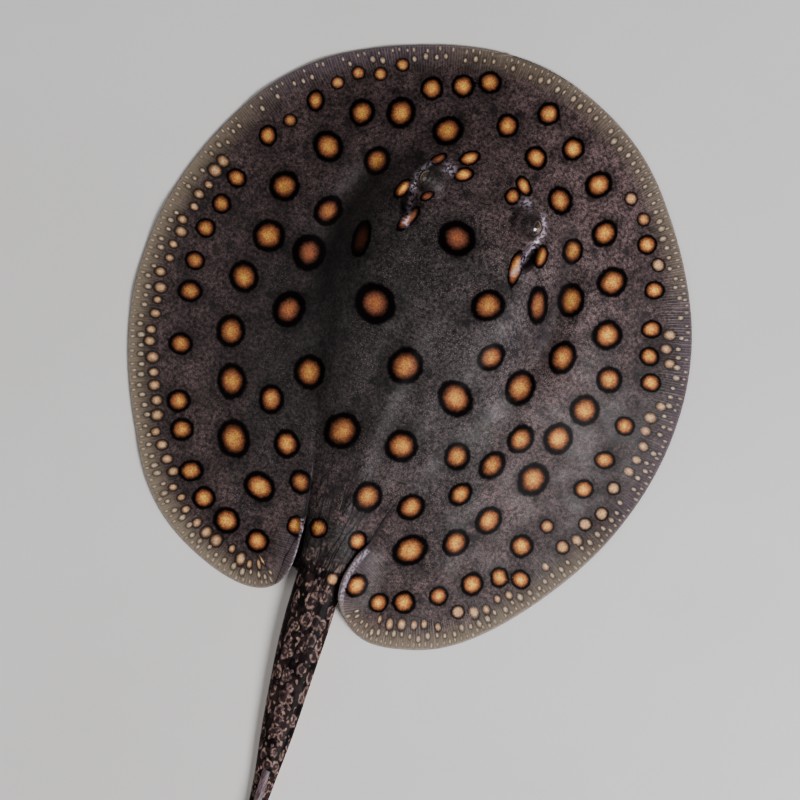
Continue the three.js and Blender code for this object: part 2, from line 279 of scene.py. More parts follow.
def fin_rim(along):
    """The right fin's rim, from beside the snout round the rear lobe to the fin's last hold on the body."""
    corner = strip_point(np.array(1.0), np.array(SNOUT_Y))
    start = math.atan2(corner[0], corner[1]) + RIM_START_TURN
    arc = rim_point(mix(start, LOBE_TURN, clamp01(along / (1 - LOBE_SHARE))))
    t = clamp01((along - 1 + LOBE_SHARE) / LOBE_SHARE)[..., None]
    end = (float(body_width(TRUNK_BACK_Y)) + 2, TRUNK_BACK_Y - 5)
    knots = [np.array(point, dtype=float) for point in (rim_point(LOBE_TURN), *LOBE_PULLS, end)]
    weights = ((1 - t) ** 3, 3 * t * (1 - t) ** 2, 3 * t * t * (1 - t), t**3)
    lobe = sum(weight * knot for weight, knot in zip(weights, knots))
    return np.where(along[..., None] > 1 - LOBE_SHARE, lobe, arc)


def fin_point(out, along):
    """A place in the right fin, from its root to its rim and from front to back."""
    root = strip_point(np.ones_like(along), mix(SNOUT_Y, TRUNK_BACK_Y, along))
    return mix(root, fin_rim(along), out[..., None])


# ---- heights ----


def dome(x, y):
    """The raised head and back, with its flanks and the valley outside them, above the line of the fins."""
    share = np.abs(x) / body_width(y)
    crown = share**2 / (1 + share**8) ** 0.25
    profile = (1 - DOME_CROWN * crown) / (1 + share ** flank_steepness(y))
    trough = bell((share - 1.22) / 0.14) * ease((y + 30) / 50) * ease((125 - y) / 50)
    return (ridge_height(y) - root_height(y)) * profile - TROUGH_DEPTH * trough


def pelvic_room(x, y):
    """How far the disc is raised to make room for the pelvic fins under it."""
    far = np.hypot((np.abs(x) - 40) / 56, (y + 152) / 62)
    return PELVIC_ROOM * ease((1.1 - far) / 0.3)


def sway(x, y, rear_follows):
    """The place across once the body is bent: the lobes follow only a part of the tail's swing."""
    outer = mix(1, LOBE_FOLLOWS, ease((np.abs(x) - 25) / 65))
    rear = mix(1, rear_follows, ease((TRUNK_BACK_Y - y) / 40))
    lean = FIN_LEAN + FRONT_LEAN * bell((y - FRONT_LEAN_Y) / FRONT_LEAN_SPREAD)
    lean = lean * ease((np.abs(x) - LEAN_INNER_X) / LEAN_WIDTH)
    return x + sway_line(y) * outer * rear - lean


# ---- the skin's columns, row by row ----


def ring_columns(fin_top, strip_top, fin_under, strip_under):
    """Side, out, across and on top for each column, once round the disc's section from the right rim."""
    rimward = 1 - (1 - np.linspace(0, 1, fin_top + 1)) ** 1.35
    rimward_under = np.linspace(0, 1, fin_under + 1) ** 0.8
    strip = np.linspace(1, -1, strip_top + 1)[1:-1]
    strip_below = np.linspace(-1, 1, strip_under + 1)[1:-1]
    columns = [(1, out, 0, 1) for out in rimward[::-1]]
    columns += [(0, 0, across, 1) for across in strip]
    columns += [(-1, out, 0, 1) for out in rimward]
    columns += [(-1, out, 0, 0) for out in rimward_under[-2::-1]]
    columns += [(0, 0, across, 0) for across in strip_below]
    columns += [(1, out, 0, 0) for out in rimward_under]
    return np.array(columns, dtype=float).T


def back_relief(x, y):
    """Low forms that the solids leave out: the spine, the gill chambers and the folds beside the tail."""
    spine = 1.3 * bell(x / 7) * ease((35 - y) / 60) * ease((y + 330) / 60)
    beside_spine = -0.9 * bell((np.abs(x) - 15) / 8) * ease((30 - y) / 60) * ease((y + 165) / 60)
    chambers = 1.6 * bell((np.abs(x) - 42) / 17) * bell((y - 34) / 30)
    brow_valley = -2.2 * bell(x / 17) * bell((y - 108) / 26)
    shoulders = 1.2 * bell((np.abs(x) - 62) / 20) * bell((y + 18) / 22)
    fold = -1.7 * bell((np.abs(x) - body_width(y)) / 5) * ease((-90 - y) / 55)
    return spine + beside_spine + chambers + brow_valley + shoulders + fold


def rim_waves(x, y, size):
    """The rim's soft rise and fall, which never goes below the floor."""
    turn = np.arctan2(x, y)
    wave = np.sin(7 * turn + 0.8) + 0.6 * np.sin(13 * turn + 2.1) + 0.5 * np.sin(23 * turn)
    return size * np.maximum(0, wave)


def disc_points(columns, rows, rim_wave):
    """The disc's vertices as (row, column, xyz), still straight, with their sides and underside shares."""
    side, out, across, top = (np.tile(column, (rows + 1, 1)) for column in columns)
    along = np.tile(np.linspace(0, 1, rows + 1)[:, None], (1, side.shape[1]))
    row_y = mix(SNOUT_Y, TRUNK_BACK_Y, along)
    strip = strip_point(across, row_y)
    fin = fin_point(out, along)
    in_fin = side != 0
    x = np.where(in_fin, side * fin[..., 0], strip[..., 0])
    y = np.where(in_fin, fin[..., 1], strip[..., 1])

    reach = np.linalg.norm(fin_rim(along) - fin_point(np.zeros_like(along), along), axis=-1)
    root = root_height(row_y)
    taper = (1 - out**1.8) ** 1.5
    muscle = MUSCLE_HEIGHT * np.sin(np.pi * clamp01(out * 1.5)) ** 2 * np.sin(np.pi * along)
    room = pelvic_room(x, y)
    upper = mix(RIM_THICKNESS + room * 0.65, root, taper) + muscle + dome(x, y) + back_relief(x, y)
    snout_lift = SNOUT_LIFT * ease((y - 70) / 60) * ease((SNOUT_Y - y) / 30)
    arch = FIN_ARCH * np.sin(np.pi * out) ** 2 + np.where(in_fin & (out > 0), room * (1 - 0.35 * out**8), 0)
    lower = snout_lift * (1 - out) ** 2 + arch
    upper = np.maximum(upper, lower + 1.2)

    from_rim = np.where(in_fin, (1 - out) * reach, 1e3)
    from_rim = np.minimum(from_rim, along * (SNOUT_Y - TRUNK_BACK_Y))
    swell = np.sqrt(1 - (1 - clamp01(from_rim / RIM_ROUNDING)) ** 2)
    middle = (upper + lower) / 2
    z = np.where(top > 0, mix(middle, upper, swell), mix(middle, lower, swell))
    z = z + rim_waves(x, y, rim_wave) * bell(from_rim / 16)
    lap = (side > 0) * ease((LAP_FRONT_Y - y) / 16) * ease((y - LAP_BACK_Y) / 22)
    lap = lap * bell((x - LAP_X) / LAP_WIDTH)
    return np.stack((x - LAP_SHIFT * lap, y, z + LAP_HEIGHT * lap), axis=-1), side, 1 - top


def tail_points(strip_top, strip_under, rows):
    """The tail's vertices as (row, column, xyz): the trunk's last section, drawn out into rings."""
    across = np.concatenate((np.linspace(1, -1, strip_top + 1), np.linspace(-1, 1, strip_under + 1), [1]))
    top = np.concatenate((np.ones(strip_top + 1), np.zeros(strip_under + 1), [1]))
    y = np.linspace(TRUNK_BACK_Y, TAIL_TIP_Y, rows + 1)[:, None] * np.ones_like(across)
    wide, high = tail_width(y), tail_height(y)
    start = np.full_like(y, TRUNK_BACK_Y)
    strip_x = across * body_width(TRUNK_BACK_Y)
    strip_z = np.where(top > 0, root_height(start) + dome(strip_x, start) + back_relief(strip_x, start), 0)
    strip_x = strip_x * wide / wide[0, 0]
    strip_z = strip_z * high / high[0, 0]

    angle = np.where(top > 0, np.pi * (1 - across) / 2, np.pi * (3 + across) / 2)
    roundness = mix(mix(0.6, 0.85, ease((TRUNK_BACK_Y - y) / 40)), 1.25, ease((-330 - y) / 60))
    reach_x = np.sign(np.cos(angle)) * np.abs(np.cos(angle)) ** roundness
    reach_z = np.sign(np.sin(angle)) * np.abs(np.sin(angle)) ** roundness
    ring_z = high * np.maximum(0, mix(-TAIL_FLATNESS, 1, (1 + reach_z) / 2))
    leaving = ease((TRUNK_BACK_Y - y) / 30)
    x = mix(strip_x, wide * reach_x, leaving)
    z = mix(strip_z, ring_z, leaving)
    sheath = 1.6 * bell(x / 5) * bell((y - STING_ROOT_Y - 6) / 9)
    z = z + top * leaving * sheath
    return np.stack((x, y, z), axis=-1), 1 - top * np.ones_like(y)


def rim_places(points):
    """For each place seen from above, how far it is along the rim from the snout's tip, and how far in."""
    front = np.linspace(0, 1, 20, endpoint=False) * float(body_width(SNOUT_Y))
    snout = strip_point(front / body_width(SNOUT_Y), np.full_like(front, SNOUT_Y))
    rim = np.concatenate((snout, fin_rim(np.linspace(0, 1, 800))))
    length = np.concatenate(([0], np.cumsum(np.linalg.norm(np.diff(rim, axis=0), axis=1))))
    step = np.diff(rim, axis=0)
    flat = points[..., :2].reshape(-1, 2).copy()
    sign = np.where(flat[:, 0] < 0, -1.0, 1.0)
    flat[:, 0] = np.abs(flat[:, 0])
    found = np.empty((len(flat), 2))
    chunk = 4000
    for begin in range(0, len(flat), chunk):
        part = flat[begin : begin + chunk]
        nearest = np.argmin(((part[:, None] - rim[None, :-1]) ** 2).sum(-1), axis=1)
        run = step[nearest]
        ahead = np.clip(((part - rim[nearest]) * run).sum(-1) / (run**2).sum(-1), -1, 1)
        foot = rim[nearest] + ahead[:, None] * run
        found[begin : begin + chunk, 0] = length[nearest] + ahead * np.linalg.norm(run, axis=1)
        found[begin : begin + chunk, 1] = np.linalg.norm(part - foot, axis=1)
    past_end = ease((found[:, 0] - length[-1] + 5) / 5)
    found[:, 1] += 60 * past_end
    found[:, 0] *= sign
    return found.reshape(*points.shape[:-1], 2)


def tail_place(points):
    """Where a place lies on the unrolled tail, counted in blotches, which get smaller to the tip."""
    x, y, z = points[..., 0], points[..., 1], points[..., 2]
    wide = tail_width(y)
    down_side = ease(np.abs(x) / wide) * np.maximum(0, tail_height(y) - z)
    across = x + np.sign(x) * down_side
    shrink = (ROOT_BLOTCH - TIP_BLOTCH) / (TRUNK_BACK_Y - TAIL_TIP_Y)
    blotch = ROOT_BLOTCH + shrink * (y - TRUNK_BACK_Y)
    along = np.log(blotch / ROOT_BLOTCH) / shrink
    return np.stack((across / blotch, along, 0 * x), axis=-1)


# ---- mesh helpers ----


def set_points(made, points):
    """Puts the vertices at these places, in millimetres."""
    made.data.vertices.foreach_set("co", (points * MM).astype(np.float32).ravel())
    made.data.update()


def grid_object(name, points):
    """A grid with its vertices put at points, an array of (row, column, xyz)."""
    rows, columns = points.shape[0] - 1, points.shape[1] - 1
    bpy.ops.mesh.primitive_grid_add(x_subdivisions=columns, y_subdivisions=rows, size=1)
    made = bpy.context.active_object
    made.name = name
    made.data.name = name
    if len(made.data.vertices) != (rows + 1) * (columns + 1):
        raise RuntimeError(f"{name}: the grid has {len(made.data.vertices)} vertices")
    made.location = (0, 0, 0)
    set_points(made, points)
    return made


def set_attribute(made, name, values):
    """Stores one number or one vector for each vertex."""
    values = np.ascontiguousarray(values, dtype=np.float32).ravel()
    wide = len(values) == 3 * len(made.data.vertices)
    kind = "FLOAT_VECTOR" if wide else "FLOAT"
    attribute = made.data.attributes.get(name) or made.data.attributes.new(name, kind, "POINT")
    attribute.data.foreach_set("vector" if wide else "value", values)


def get_attribute(made, name):
    attribute = made.data.attributes[name]
    wide = attribute.data_type == "FLOAT_VECTOR"
    values = np.empty(len(made.data.vertices) * (3 if wide else 1), dtype=np.float32)
    attribute.data.foreach_get("vector" if wide else "value", values)
    return values.reshape(-1, 3) if wide else values


def get_points(made):
    """The vertices' places in millimetres."""
    values = np.empty(len(made.data.vertices) * 3, dtype=np.float32)
    made.data.vertices.foreach_get("co", values)
    return values.reshape(-1, 3).astype(float) / MM


def get_straight_places(made):
    """Where the vertices were before the body was bent, in millimetres."""
    return get_attribute(made, "straight_place").astype(float) / MM


def upper_side(made):
    return get_attribute(made, "underside") < 0.5


def lower_side(made):
    return get_attribute(made, "underside") > 0.5


def only(*objects):
    """Selects these objects and nothing else, the first of them active."""
    bpy.ops.object.select_all(action="DESELECT")
    for each in objects:
        each.select_set(True)
    bpy.context.view_layer.objects.active = objects[0]


def select_vertices(made, chosen):
    """Leaves the piece in edit mode with these vertices selected."""
    only(made)
    bpy.ops.object.mode_set(mode="EDIT")
    bpy.ops.mesh.select_mode(type="VERT")
    bpy.ops.mesh.select_all(action="DESELECT")
    bpy.ops.object.mode_set(mode="OBJECT")
    made.data.vertices.foreach_set("select", np.asarray(chosen, dtype=bool))
    bpy.ops.object.mode_set(mode="EDIT")


def face_outwards(made):
    only(made)
    bpy.ops.object.mode_set(mode="EDIT")
    bpy.ops.mesh.select_all(action="SELECT")
    bpy.ops.mesh.normals_make_consistent(inside=False)
    bpy.ops.object.mode_set(mode="OBJECT")


def close_up(made):
    """Merges doubled vertices, fills what is left open, and turns the faces outwards."""
    select_vertices(made, np.ones(len(made.data.vertices), dtype=bool))
    bpy.ops.mesh.remove_doubles(threshold=DOUBLES_WITHIN)
    bpy.ops.mesh.select_all(action="DESELECT")
    bpy.ops.mesh.select_non_manifold(
        extend=False, use_wire=False, use_multi_face=False, use_non_contiguous=False
    )
    bpy.ops.mesh.fill_holes(sides=0)
    bpy.ops.object.mode_set(mode="OBJECT")
    face_outwards(made)


def subdivide_where(made, chosen):
    select_vertices(made, chosen)
    bpy.ops.mesh.subdivide(number_cuts=1, smoothness=0)
    bpy.ops.object.mode_set(mode="OBJECT")


def smooth_where(made, chosen, repeat):
    select_vertices(made, chosen)
    bpy.ops.mesh.vertices_smooth(factor=0.5, repeat=repeat)
    bpy.ops.object.mode_set(mode="OBJECT")


def shade_smooth(made):
    only(made)
    bpy.ops.object.shade_smooth()


# ---- the skin ----


def crease_shade_depth(x, y):
    """How deep a place lies in the folds beside the body and the trough beside the head, from 0 to 1, as the
    share of painted shade it gets.
    """
    share = np.abs(x) / body_width(y)
    beside_tail = bell((np.abs(x) - body_width(y)) / 3.2)
    beside_tail = beside_tail * ease((-105 - y) / 40) * ease((y - TRUNK_BACK_Y + 30) / 20)
    beside_head = 0.8 * bell((share - 1.16) / 0.12) * ease((y + 10) / 50) * ease((130 - y) / 40)
    return clamp01(np.maximum(beside_tail, beside_head))


def swayed_object(name, points, rear_follows):
    """A grid bent as the body is, which keeps its straight places."""
    swayed = points.copy()
    swayed[..., 0] = sway(points[..., 0], points[..., 1], rear_follows)
    piece = grid_object(name, swayed)
    set_attribute(piece, "straight_place", points * MM)
    return piece


def build_skin(settings):
    """The disc and the tail as one closed skin, swayed, with what its material reads kept as attributes."""
    fin_under, strip_under = 22, 24
    columns = ring_columns(settings.fin_columns, settings.strip_columns, fin_under, strip_under)
    disc, side, below = disc_points(columns, settings.disc_rows, settings.rim_wave / MM)
    tail, tail_below = tail_points(settings.strip_columns, strip_under, settings.tail_rows)
    made = []
    for name, points, sides, under, on_tail in (
        ("ray_skin", disc, side, below, False),
        ("tail_skin", tail, np.zeros(tail.shape[:2]), tail_below, True),
    ):
        tail_share = ease((-148 - points[..., 1]) / 62)
        if on_tail:
            rim = np.stack((np.zeros(points.shape[:2]), np.full(points.shape[:2], TAIL_FROM_RIM)), axis=-1)
        else:
            rim = rim_places(points)
            beyond = np.abs(points[..., 0]) - body_width(points[..., 1])
            on_fin = (1 - ease(beyond / 5)) * ease((points[..., 1] - TRUNK_BACK_Y + 2) / 12)
            tail_share = tail_share * np.where(sides == 0, 1, on_fin)
        rear_follows = np.where(sides < 0, LEFT_LOBE_FOLLOWS, 1.0)
        piece = swayed_object(name, points, rear_follows)
        set_attribute(piece, "rim_place", np.concatenate((rim, tail_share[..., None]), axis=-1))
        set_attribute(piece, "underside", under)
        set_attribute(piece, "tail_place", tail_place(points))
        set_attribute(piece, "rim_pale_and_shade", rim_paleness_and_shade(rim[..., 0]))
        set_attribute(piece, "crease_shade", crease_shade_depth(points[..., 0], points[..., 1]))
        made.append(piece)
    only(*made)
    bpy.ops.object.join()
    skin = bpy.context.active_object
    close_up(skin)
    return skin


# Raises each vertex's share of painted shade to at least this depth.
def deepen_crease_shade(skin, depth):
    set_attribute(skin, "crease_shade", np.maximum(get_attribute(skin, "crease_shade"), depth))


def spiracle_share(x, y):
    """How far a place is from the nearer spiracle's centre, as a share of its half size."""
    dx, dy = np.abs(x - FACE_MIDDLE) - SPIRACLE[0], y - SPIRACLE[1]
    cos, sin = math.cos(SPIRACLE_TURN), math.sin(SPIRACLE_TURN)
    along_x = (dx * cos + dy * sin) / SPIRACLE_HALF[0]
    along_y = (-dx * sin + dy * cos) / SPIRACLE_HALF[1]
    return np.hypot(along_x, along_y)


def carve_spiracles(skin):
    """The breathing holes behind the eyes, on a finer stretch of mesh, each with a raised outer lip and
    painted shade inside.
    """
    belly = 9
    inner_x, outer_x, rear_y, front_y = 20, 66, 66, 130
    for margin in (1, 0):
        x, y, z = get_points(skin).T
        finer = (np.abs(x) > inner_x - 2 * margin) & (np.abs(x) < outer_x + 2 * margin)
        finer &= (y > rear_y - 3 * margin) & (y < front_y + 3 * margin) & (z > belly)
        subdivide_where(skin, finer)
    points = get_points(skin)
    x, y, z = points.T
    share = spiracle_share(x, y)
    upper = z > belly
    hollow = SPIRACLE_DEPTH * (1 - ease((share - 0.55) / 0.5))
    lip = 1.5 * bell((share - 1.3) / 0.25) * ease((np.abs(x) - 44) / 8)
    rear_lip = bell((share - 1.25) / 0.22) * ease((SPIRACLE[1] + 2 - y) / 8)
    points[:, 2] = z + np.where(upper, lip + rear_lip - hollow, 0)
    set_points(skin, points)
    # Painted shade inside each spiracle's hollow.
    inside = upper * (1 - ease((share - 0.62) / 0.28))
    deepen_crease_shade(skin, inside)
    smooth_where(skin, upper & (share < 1.35), 3)


def from_gaze(directions):
    """Each direction's angle from the gaze."""
    return np.arccos(np.clip(directions @ np.array(GAZE), -1, 1))


def knob_radius(directions):
    """The eye knob's surface, as its distance from the eyeball's centre in each direction."""
    start = (EYE - BROW) / BROW_REACH
    step = directions / BROW_REACH
    a = (step**2).sum(-1)
    b = (step * start).sum(-1)
    c = (start**2).sum() - 1
    brow = (-b + np.sqrt(b * b - a * c)) / a
    lid = EYE_RADIUS + LID_THICKNESS
    sharpness = 3.0
    outer = lid + np.log1p(np.exp(np.clip((brow - lid) * sharpness, -40, 40))) / sharpness
    angle = from_gaze(directions)
    lid_fold = -0.3 * bell((angle - LID_OPENING - 0.42) / 0.13)
    lid_roll = 0.35 * bell((angle - LID_OPENING - 0.14) / 0.16)
    x, y, z = directions.T
    wrinkles = np.sin(9 * x + 21 * y + 2 * np.sin(11 * z)) * np.sin(17 * z - 8 * y + 2 * np.sin(9 * x))
    wrinkles = 0.16 * wrinkles * ease((angle - LID_OPENING - 0.1) / 0.4)
    shut = ease((angle - LID_OPENING) / 0.12)
    return mix(EYE_RADIUS - 1.4, outer + lid_fold + lid_roll + wrinkles, shut)


def ball(name, segments, rings, turn):
    """A sphere, and the direction of each of its vertices, turned by a matrix."""
    bpy.ops.mesh.primitive_uv_sphere_add(segments=segments, ring_count=rings, radius=1)
    made = bpy.context.active_object
    made.name = name
    directions = get_points(made) * MM @ turn.T
    return made, directions / np.linalg.norm(directions, axis=1, keepdims=True)


def place_round_eye(made, points, side):
    """Puts the vertices round the right or left eye's centre."""
    points = points + EYE
    points[:, 0] = points[:, 0] * side + FACE_MIDDLE
    set_points(made, points)
    face_outwards(made)


def eye_knob(side):
    """One knob of skin round an eyeball, open towards the gaze, with lids."""
    knob, directions = ball("eye_knob", 96, 72, GAZE_TURN)
    place_round_eye(knob, directions * knob_radius(directions)[:, None], side)
    return knob


def unite(base, added):
    """Joins two closed meshes into one solid."""
    only(base)
    bpy.ops.object.modifier_add(type="BOOLEAN")
    cut = base.modifiers[-1]
    cut.operation = "UNION"
    cut.solver = "MANIFOLD"
    cut.object = added
    bpy.ops.object.modifier_apply(modifier=cut.name)
    bpy.data.objects.remove(added)


def raise_eyes(skin):
    """Joins the two knobs to the skin, smooths where they meet, and paints shade over their tops."""
    for side in (-1, 1):
        unite(skin, eye_knob(side))
    points = get_points(skin)
    x, y, z = points.T
    way = np.stack((np.abs(x - FACE_MIDDLE), y, z), axis=-1) - EYE
    from_eye = np.linalg.norm(way, axis=1)
    directions = way / np.maximum(from_eye, 1e-3)[:, None]
    on_knob = np.abs(from_eye - knob_radius(directions)) < 0.6
    angle = from_gaze(directions)
    head_top = root_height(y) + dome(x, y) + back_relief(x, y)
    foot = on_knob & (angle > LID_OPENING + 0.3) & (z < head_top + 3.2)
    collar = (from_eye < 19) & (z > 22) & (angle > LID_OPENING + 0.35) & (z < head_top + 1.5)
    smooth_where(skin, foot | collar, 14)
    # Painted shade over the knobs' tops.
    from_top = np.hypot((np.abs(x - FACE_MIDDLE) - EYE[0] + 1) / 9, (y - EYE[1]) / 11)
    deepen_crease_shade(skin, 0.8 * (1 - ease((from_top - 0.75) / 0.4)) * (z > 20))
    rim_place = get_attribute(skin, "rim_place")
    rim_place[(from_eye < 24) & (z > 12)] = (0, EYE_FROM_RIM, 0)
    set_attribute(skin, "rim_place", rim_place)


def belly_depth(x, y):
    """How deep the mouth, nostrils, gill slits and vent are pressed into the belly. Lips stand out of it."""
    wide = np.abs(x)
    mouth_y = MOUTH_Y - 5 * (x / MOUTH_HALF_WIDTH) ** 2
    depth = 2.6 * bell((y - mouth_y) / 1.7) * ease((MOUTH_HALF_WIDTH + 2 - wide) / 5)
    depth = depth - 0.5 * bell((y - mouth_y - 4.6) / 2.2) * ease((MOUTH_HALF_WIDTH + 4 - wide) / 6)
    aside, ahead = wide - NOSTRIL[0], y - NOSTRIL[1]
    depth = depth + 2.2 * bell(np.hypot(aside / 3.4, (ahead + 0.5 * aside) / 2.2))
    depth = depth + 0.9 * bell((y - CURTAIN_Y) / 1.1) * ease((NOSTRIL[0] - wide) / 3)
    for slit in range(GILL_SLITS):
        across = wide - (FIRST_SLIT[0] - 2.6 * slit - 0.4 * slit**2)
        down = y - (FIRST_SLIT[1] - SLIT_SPACING * slit) + 0.35 * across
        depth = depth + 1.8 * bell(down / 1.1) * ease((8.5 - np.abs(across)) / 3)
        depth = depth - 0.45 * bell((down - 2.6) / 1.4) * ease((9 - np.abs(across)) / 3)
    return depth + 2.2 * bell(np.hypot(x / 3.2, (y - VENT_Y) / 8.5))


def carve_underside(skin):
    """Presses the belly's features into it, on a finer stretch of mesh."""
    for _ in range(2):
        depth = belly_depth(*get_straight_places(skin)[:, :2].T)
        low = lower_side(skin) & (get_points(skin)[:, 2] < BELLY_TOP)
        subdivide_where(skin, low & (np.abs(depth) > 0.02))
    points = get_points(skin)
    depth = belly_depth(*get_straight_places(skin)[:, :2].T)
    low = lower_side(skin) & (points[:, 2] < BELLY_TOP)
    points[:, 2] = np.where(low, np.maximum(0, points[:, 2] + depth), points[:, 2])
    set_points(skin, points)


def pelvic_fin(side):
    """A thin leaf under the rear of the pectoral fin, its root held inside the body."""
    columns, rows = 15, 37
    out = np.linspace(0, 1, columns)
    out = np.concatenate((out, out[-2::-1]))
    under = np.concatenate((np.zeros(columns), np.ones(columns - 1)))
    along = np.linspace(0, 1, rows)[:, None] * np.ones_like(out)
    y = mix(PELVIC_FRONT_Y, PELVIC_BACK_Y, along)
    body = np.where(y > TRUNK_BACK_Y, body_width(y), tail_width(y))
    reach = PELVIC_SPAN * np.sin(np.pi * along**1.25) ** 0.8
    x = body - 3 + out * (reach + 4)
    ribs = 0.18 * np.sin(out * 8 + along * 34)
    edge = np.sqrt(1 - clamp01((out - 0.93) / 0.07) ** 2)
    front = np.sqrt(1 - clamp01(1 - np.minimum(along, 1 - along) / 0.03) ** 2)
    full = edge * front
    thick = mix(PELVIC_THICKNESS, 1.2, out**2) * full
    z = np.where(under > 0, 0.5 - 0.5 * full, 0.5 + (thick - 0.5 + ribs) * full)
    points = np.stack((x * side, y, np.maximum(z, 0)), axis=-1)
    fin = swayed_object("pelvic_fin", points, 1.0)
    rim = np.stack((y, 12 + (1 - out) * 40 * np.ones_like(y), 0 * y), axis=-1)
    set_attribute(fin, "rim_place", rim)
    set_attribute(fin, "underside", mix(0.35, 1, under) * np.ones_like(y))
    set_attribute(fin, "crease_shade", 0 * y)
    close_up(fin)
    return fin


# ---- markings ----

# Where the eye-shaped spots lie on the disc, as this animal's own pattern has them, by the centre's width:
# place, how many times longer than wide the spot is, and its turn in degrees from straight ahead.
SPOTS = {
    17.5: (
        (-37, 6, 1.1, -70), (2, -26, 1.1, 15), (45, -32, 1.13, -70), (-20, -88, 1.06, 30),
        (-90, -127, 1.16, -35),
    ),
    16: (
        (-129, 19, 1, 0), (-60, -59, 1.13, -25), (24, -80, 1, 0), (-3, 74, 1.06, -80), (38, 39, 1.13, 45),
        (85, -5, 1.26, 0), (122, -62, 1.13, 15), (62, -147, 1.23, 40), (-109, -89, 1.2, -25),
    ),
    15: (
        (-134, 57, 1, 0), (-117, 97, 1.13, -50), (-133, -16, 1.1, -40), (-93, -24, 1.16, 5),
        (-125, -56, 1.1, -15), (126, -27, 1.06, -10), (135, 0, 1.06, 20), (104, 28, 1.26, 0),
        (127, 57, 1.1, 20), (114, 94, 1.13, 25), (17, -124, 1.1, 0), (-42, 144, 1.1, 20),
        (-79, 142, 1.13, -5), (-58, -151, 1.2, -75), (92, 69, 1.29, -20), (-97, 20, 1.13, -5),
    ),
    13.5: (
        (-80, 102, 1.13, -5), (-105, 130, 1.16, -15), (-97, 54, 1.23, 15), (54, 132, 1.13, -40),
        (94, 124, 1.2, 15), (56, 6, 1.29, 25), (64, -70, 1.1, 5), (90, -65, 1.29, 15),
        (105, -103, 1.2, 15), (90, -128, 1.16, 20), (49, -118, 1.16, 35), (-53, -114, 1.16, -40),
        (-70, -184, 1.06, -70), (-77, -89, 1.2, -30), (101, -39, 1.23, 10), (71, 55, 1.8, -20),
        (142, 28, 1, 0), (75, 155, 1.16, 20),
    ),
    12: (
        (-66, 168, 1.13, -10), (47, 171, 1.16, 5), (20, 187, 1.06, 0), (-4, 166, 1.1, -10),
        (25, 153, 1.13, -50), (-46, 179, 1.06, 0), (-29, 190, 1.06, 50), (78, 102, 1.26, -15),
        (78, -94, 1.26, 20), (135, -110, 1.06, -40), (-32, -135, 1.16, -55), (37, -187, 1.26, 10),
        (74, -184, 1, 0), (114, -151, 1.1, -5), (-43, -188, 1.06, -65), (-109, -162, 1.16, 60),
        (-139, -119, 1.06, 60), (-128, -137, 1.06, 50), (-155, -80, 1.1, 70), (-165, -42, 1.13, 80),
        (-92, -176, 1, 0),
    ),
    10.5: (
        (-171, -20, 1.1, -85), (-174, 5, 1.1, -85), (-171, 26, 1.06, -70), (-169, 48, 1.13, -80),
        (-161, 86, 1.13, -30), (-140, 124, 1.29, -25), (162, 56, 1.1, 90), (155, 75, 1.16, 50),
        (145, 102, 1.1, 55), (171, 39, 1.1, 80), (167, 2, 1.1, 90), (164, -27, 1.16, 65),
        (159, -53, 1.06, 70), (126, 130, 1.1, 45), (95, -169, 1.06, 10), (57, -192, 1.13, 25),
        (-22, -166, 1.13, -25), (24, -157, 1.13, 5), (-6, -160, 1.1, -15), (145, -133, 1.1, -55),
        (130, -138, 1.13, -25),
    ),
    7.9: (
        (-151, 103, 1, 0), (-131, 143, 1, 0), (-120, 156, 1, 0), (-105, 162, 1, 0), (-93, 175, 1, 0),
        (140, 120, 1, 0), (116, 146, 1, 0), (101, 156, 1, 0), (163, -98, 1, 0), (146, -89, 1, 0),
        (113, -174, 1, 0), (19, -190, 1, 0), (179, -43, 1, 0), (171, -76, 1, 0), (179, -64, 1, 0),
    ),
}
# Narrow spots round the eyes and the spiracles: place, width, length, turn from straight ahead and paleness.
# Below zero, paleness makes a spot dim.
NARROW_SPOTS = (
    (-19, 132, 7.5, 12, 43, 0.9), (-18, 119, 7.5, 11, 54, 1.0), (25.5, 130, 7.5, 11.5, -53, 0.85),
    (21, 119.5, 8.5, 9.5, 0, 0.6), (-39.5, 121.5, 5, 11, 34, 0.05), (-35.5, 93, 4.5, 8, 42, -0.2),
    (-54, 91, 6.5, 12.5, 15, 0.9), (58, 88, 7.5, 13, -10, 0.8), (-41, 72, 6.5, 18, 18, 0.1),
    (45, 72, 7, 20, -10, 0.95), (-66, 45, 9.5, 20, -10, -0.92),
)
# Spots that are paler or duller than their place on the disc would make them, by how much.
ODD_SPOTS = {
    (-3, 74): -0.45, (-32, -135): -0.4, (71, 55): -0.4, (162, 56): -0.3, (-93, -24): -0.25, (-97, 20): -0.25,
    (-22, -166): 0.5, (78, 102): 0.35, (-60, -59): 0.35, (25, 153): 0.3,
}
# Broad fields of painted light and shade, where the ground is lighter or darker: place, reach across and
# along, and strength.
PAINTED_LIGHT_FIELDS = (
    (76, 45, 62, 160, 1.05), (-86, 10, 66, 115, -0.6), (168, -10, 32, 120, -0.45), (-20, 175, 90, 50, -0.2),
)
# The dark ring's outer edge, as a multiple of the pale centre's radius: for small spots, large ones, and the
# dark ones in the middle of the back.
SMALL_RING_REACH = 1.6
NARROW_RING_REACH = 1.66
RING_REACH = 1.78
MIDDLE_RING_REACH = 2.0

Spot = namedtuple("Spot", "x y half_width half_length turn paleness ring_reach")


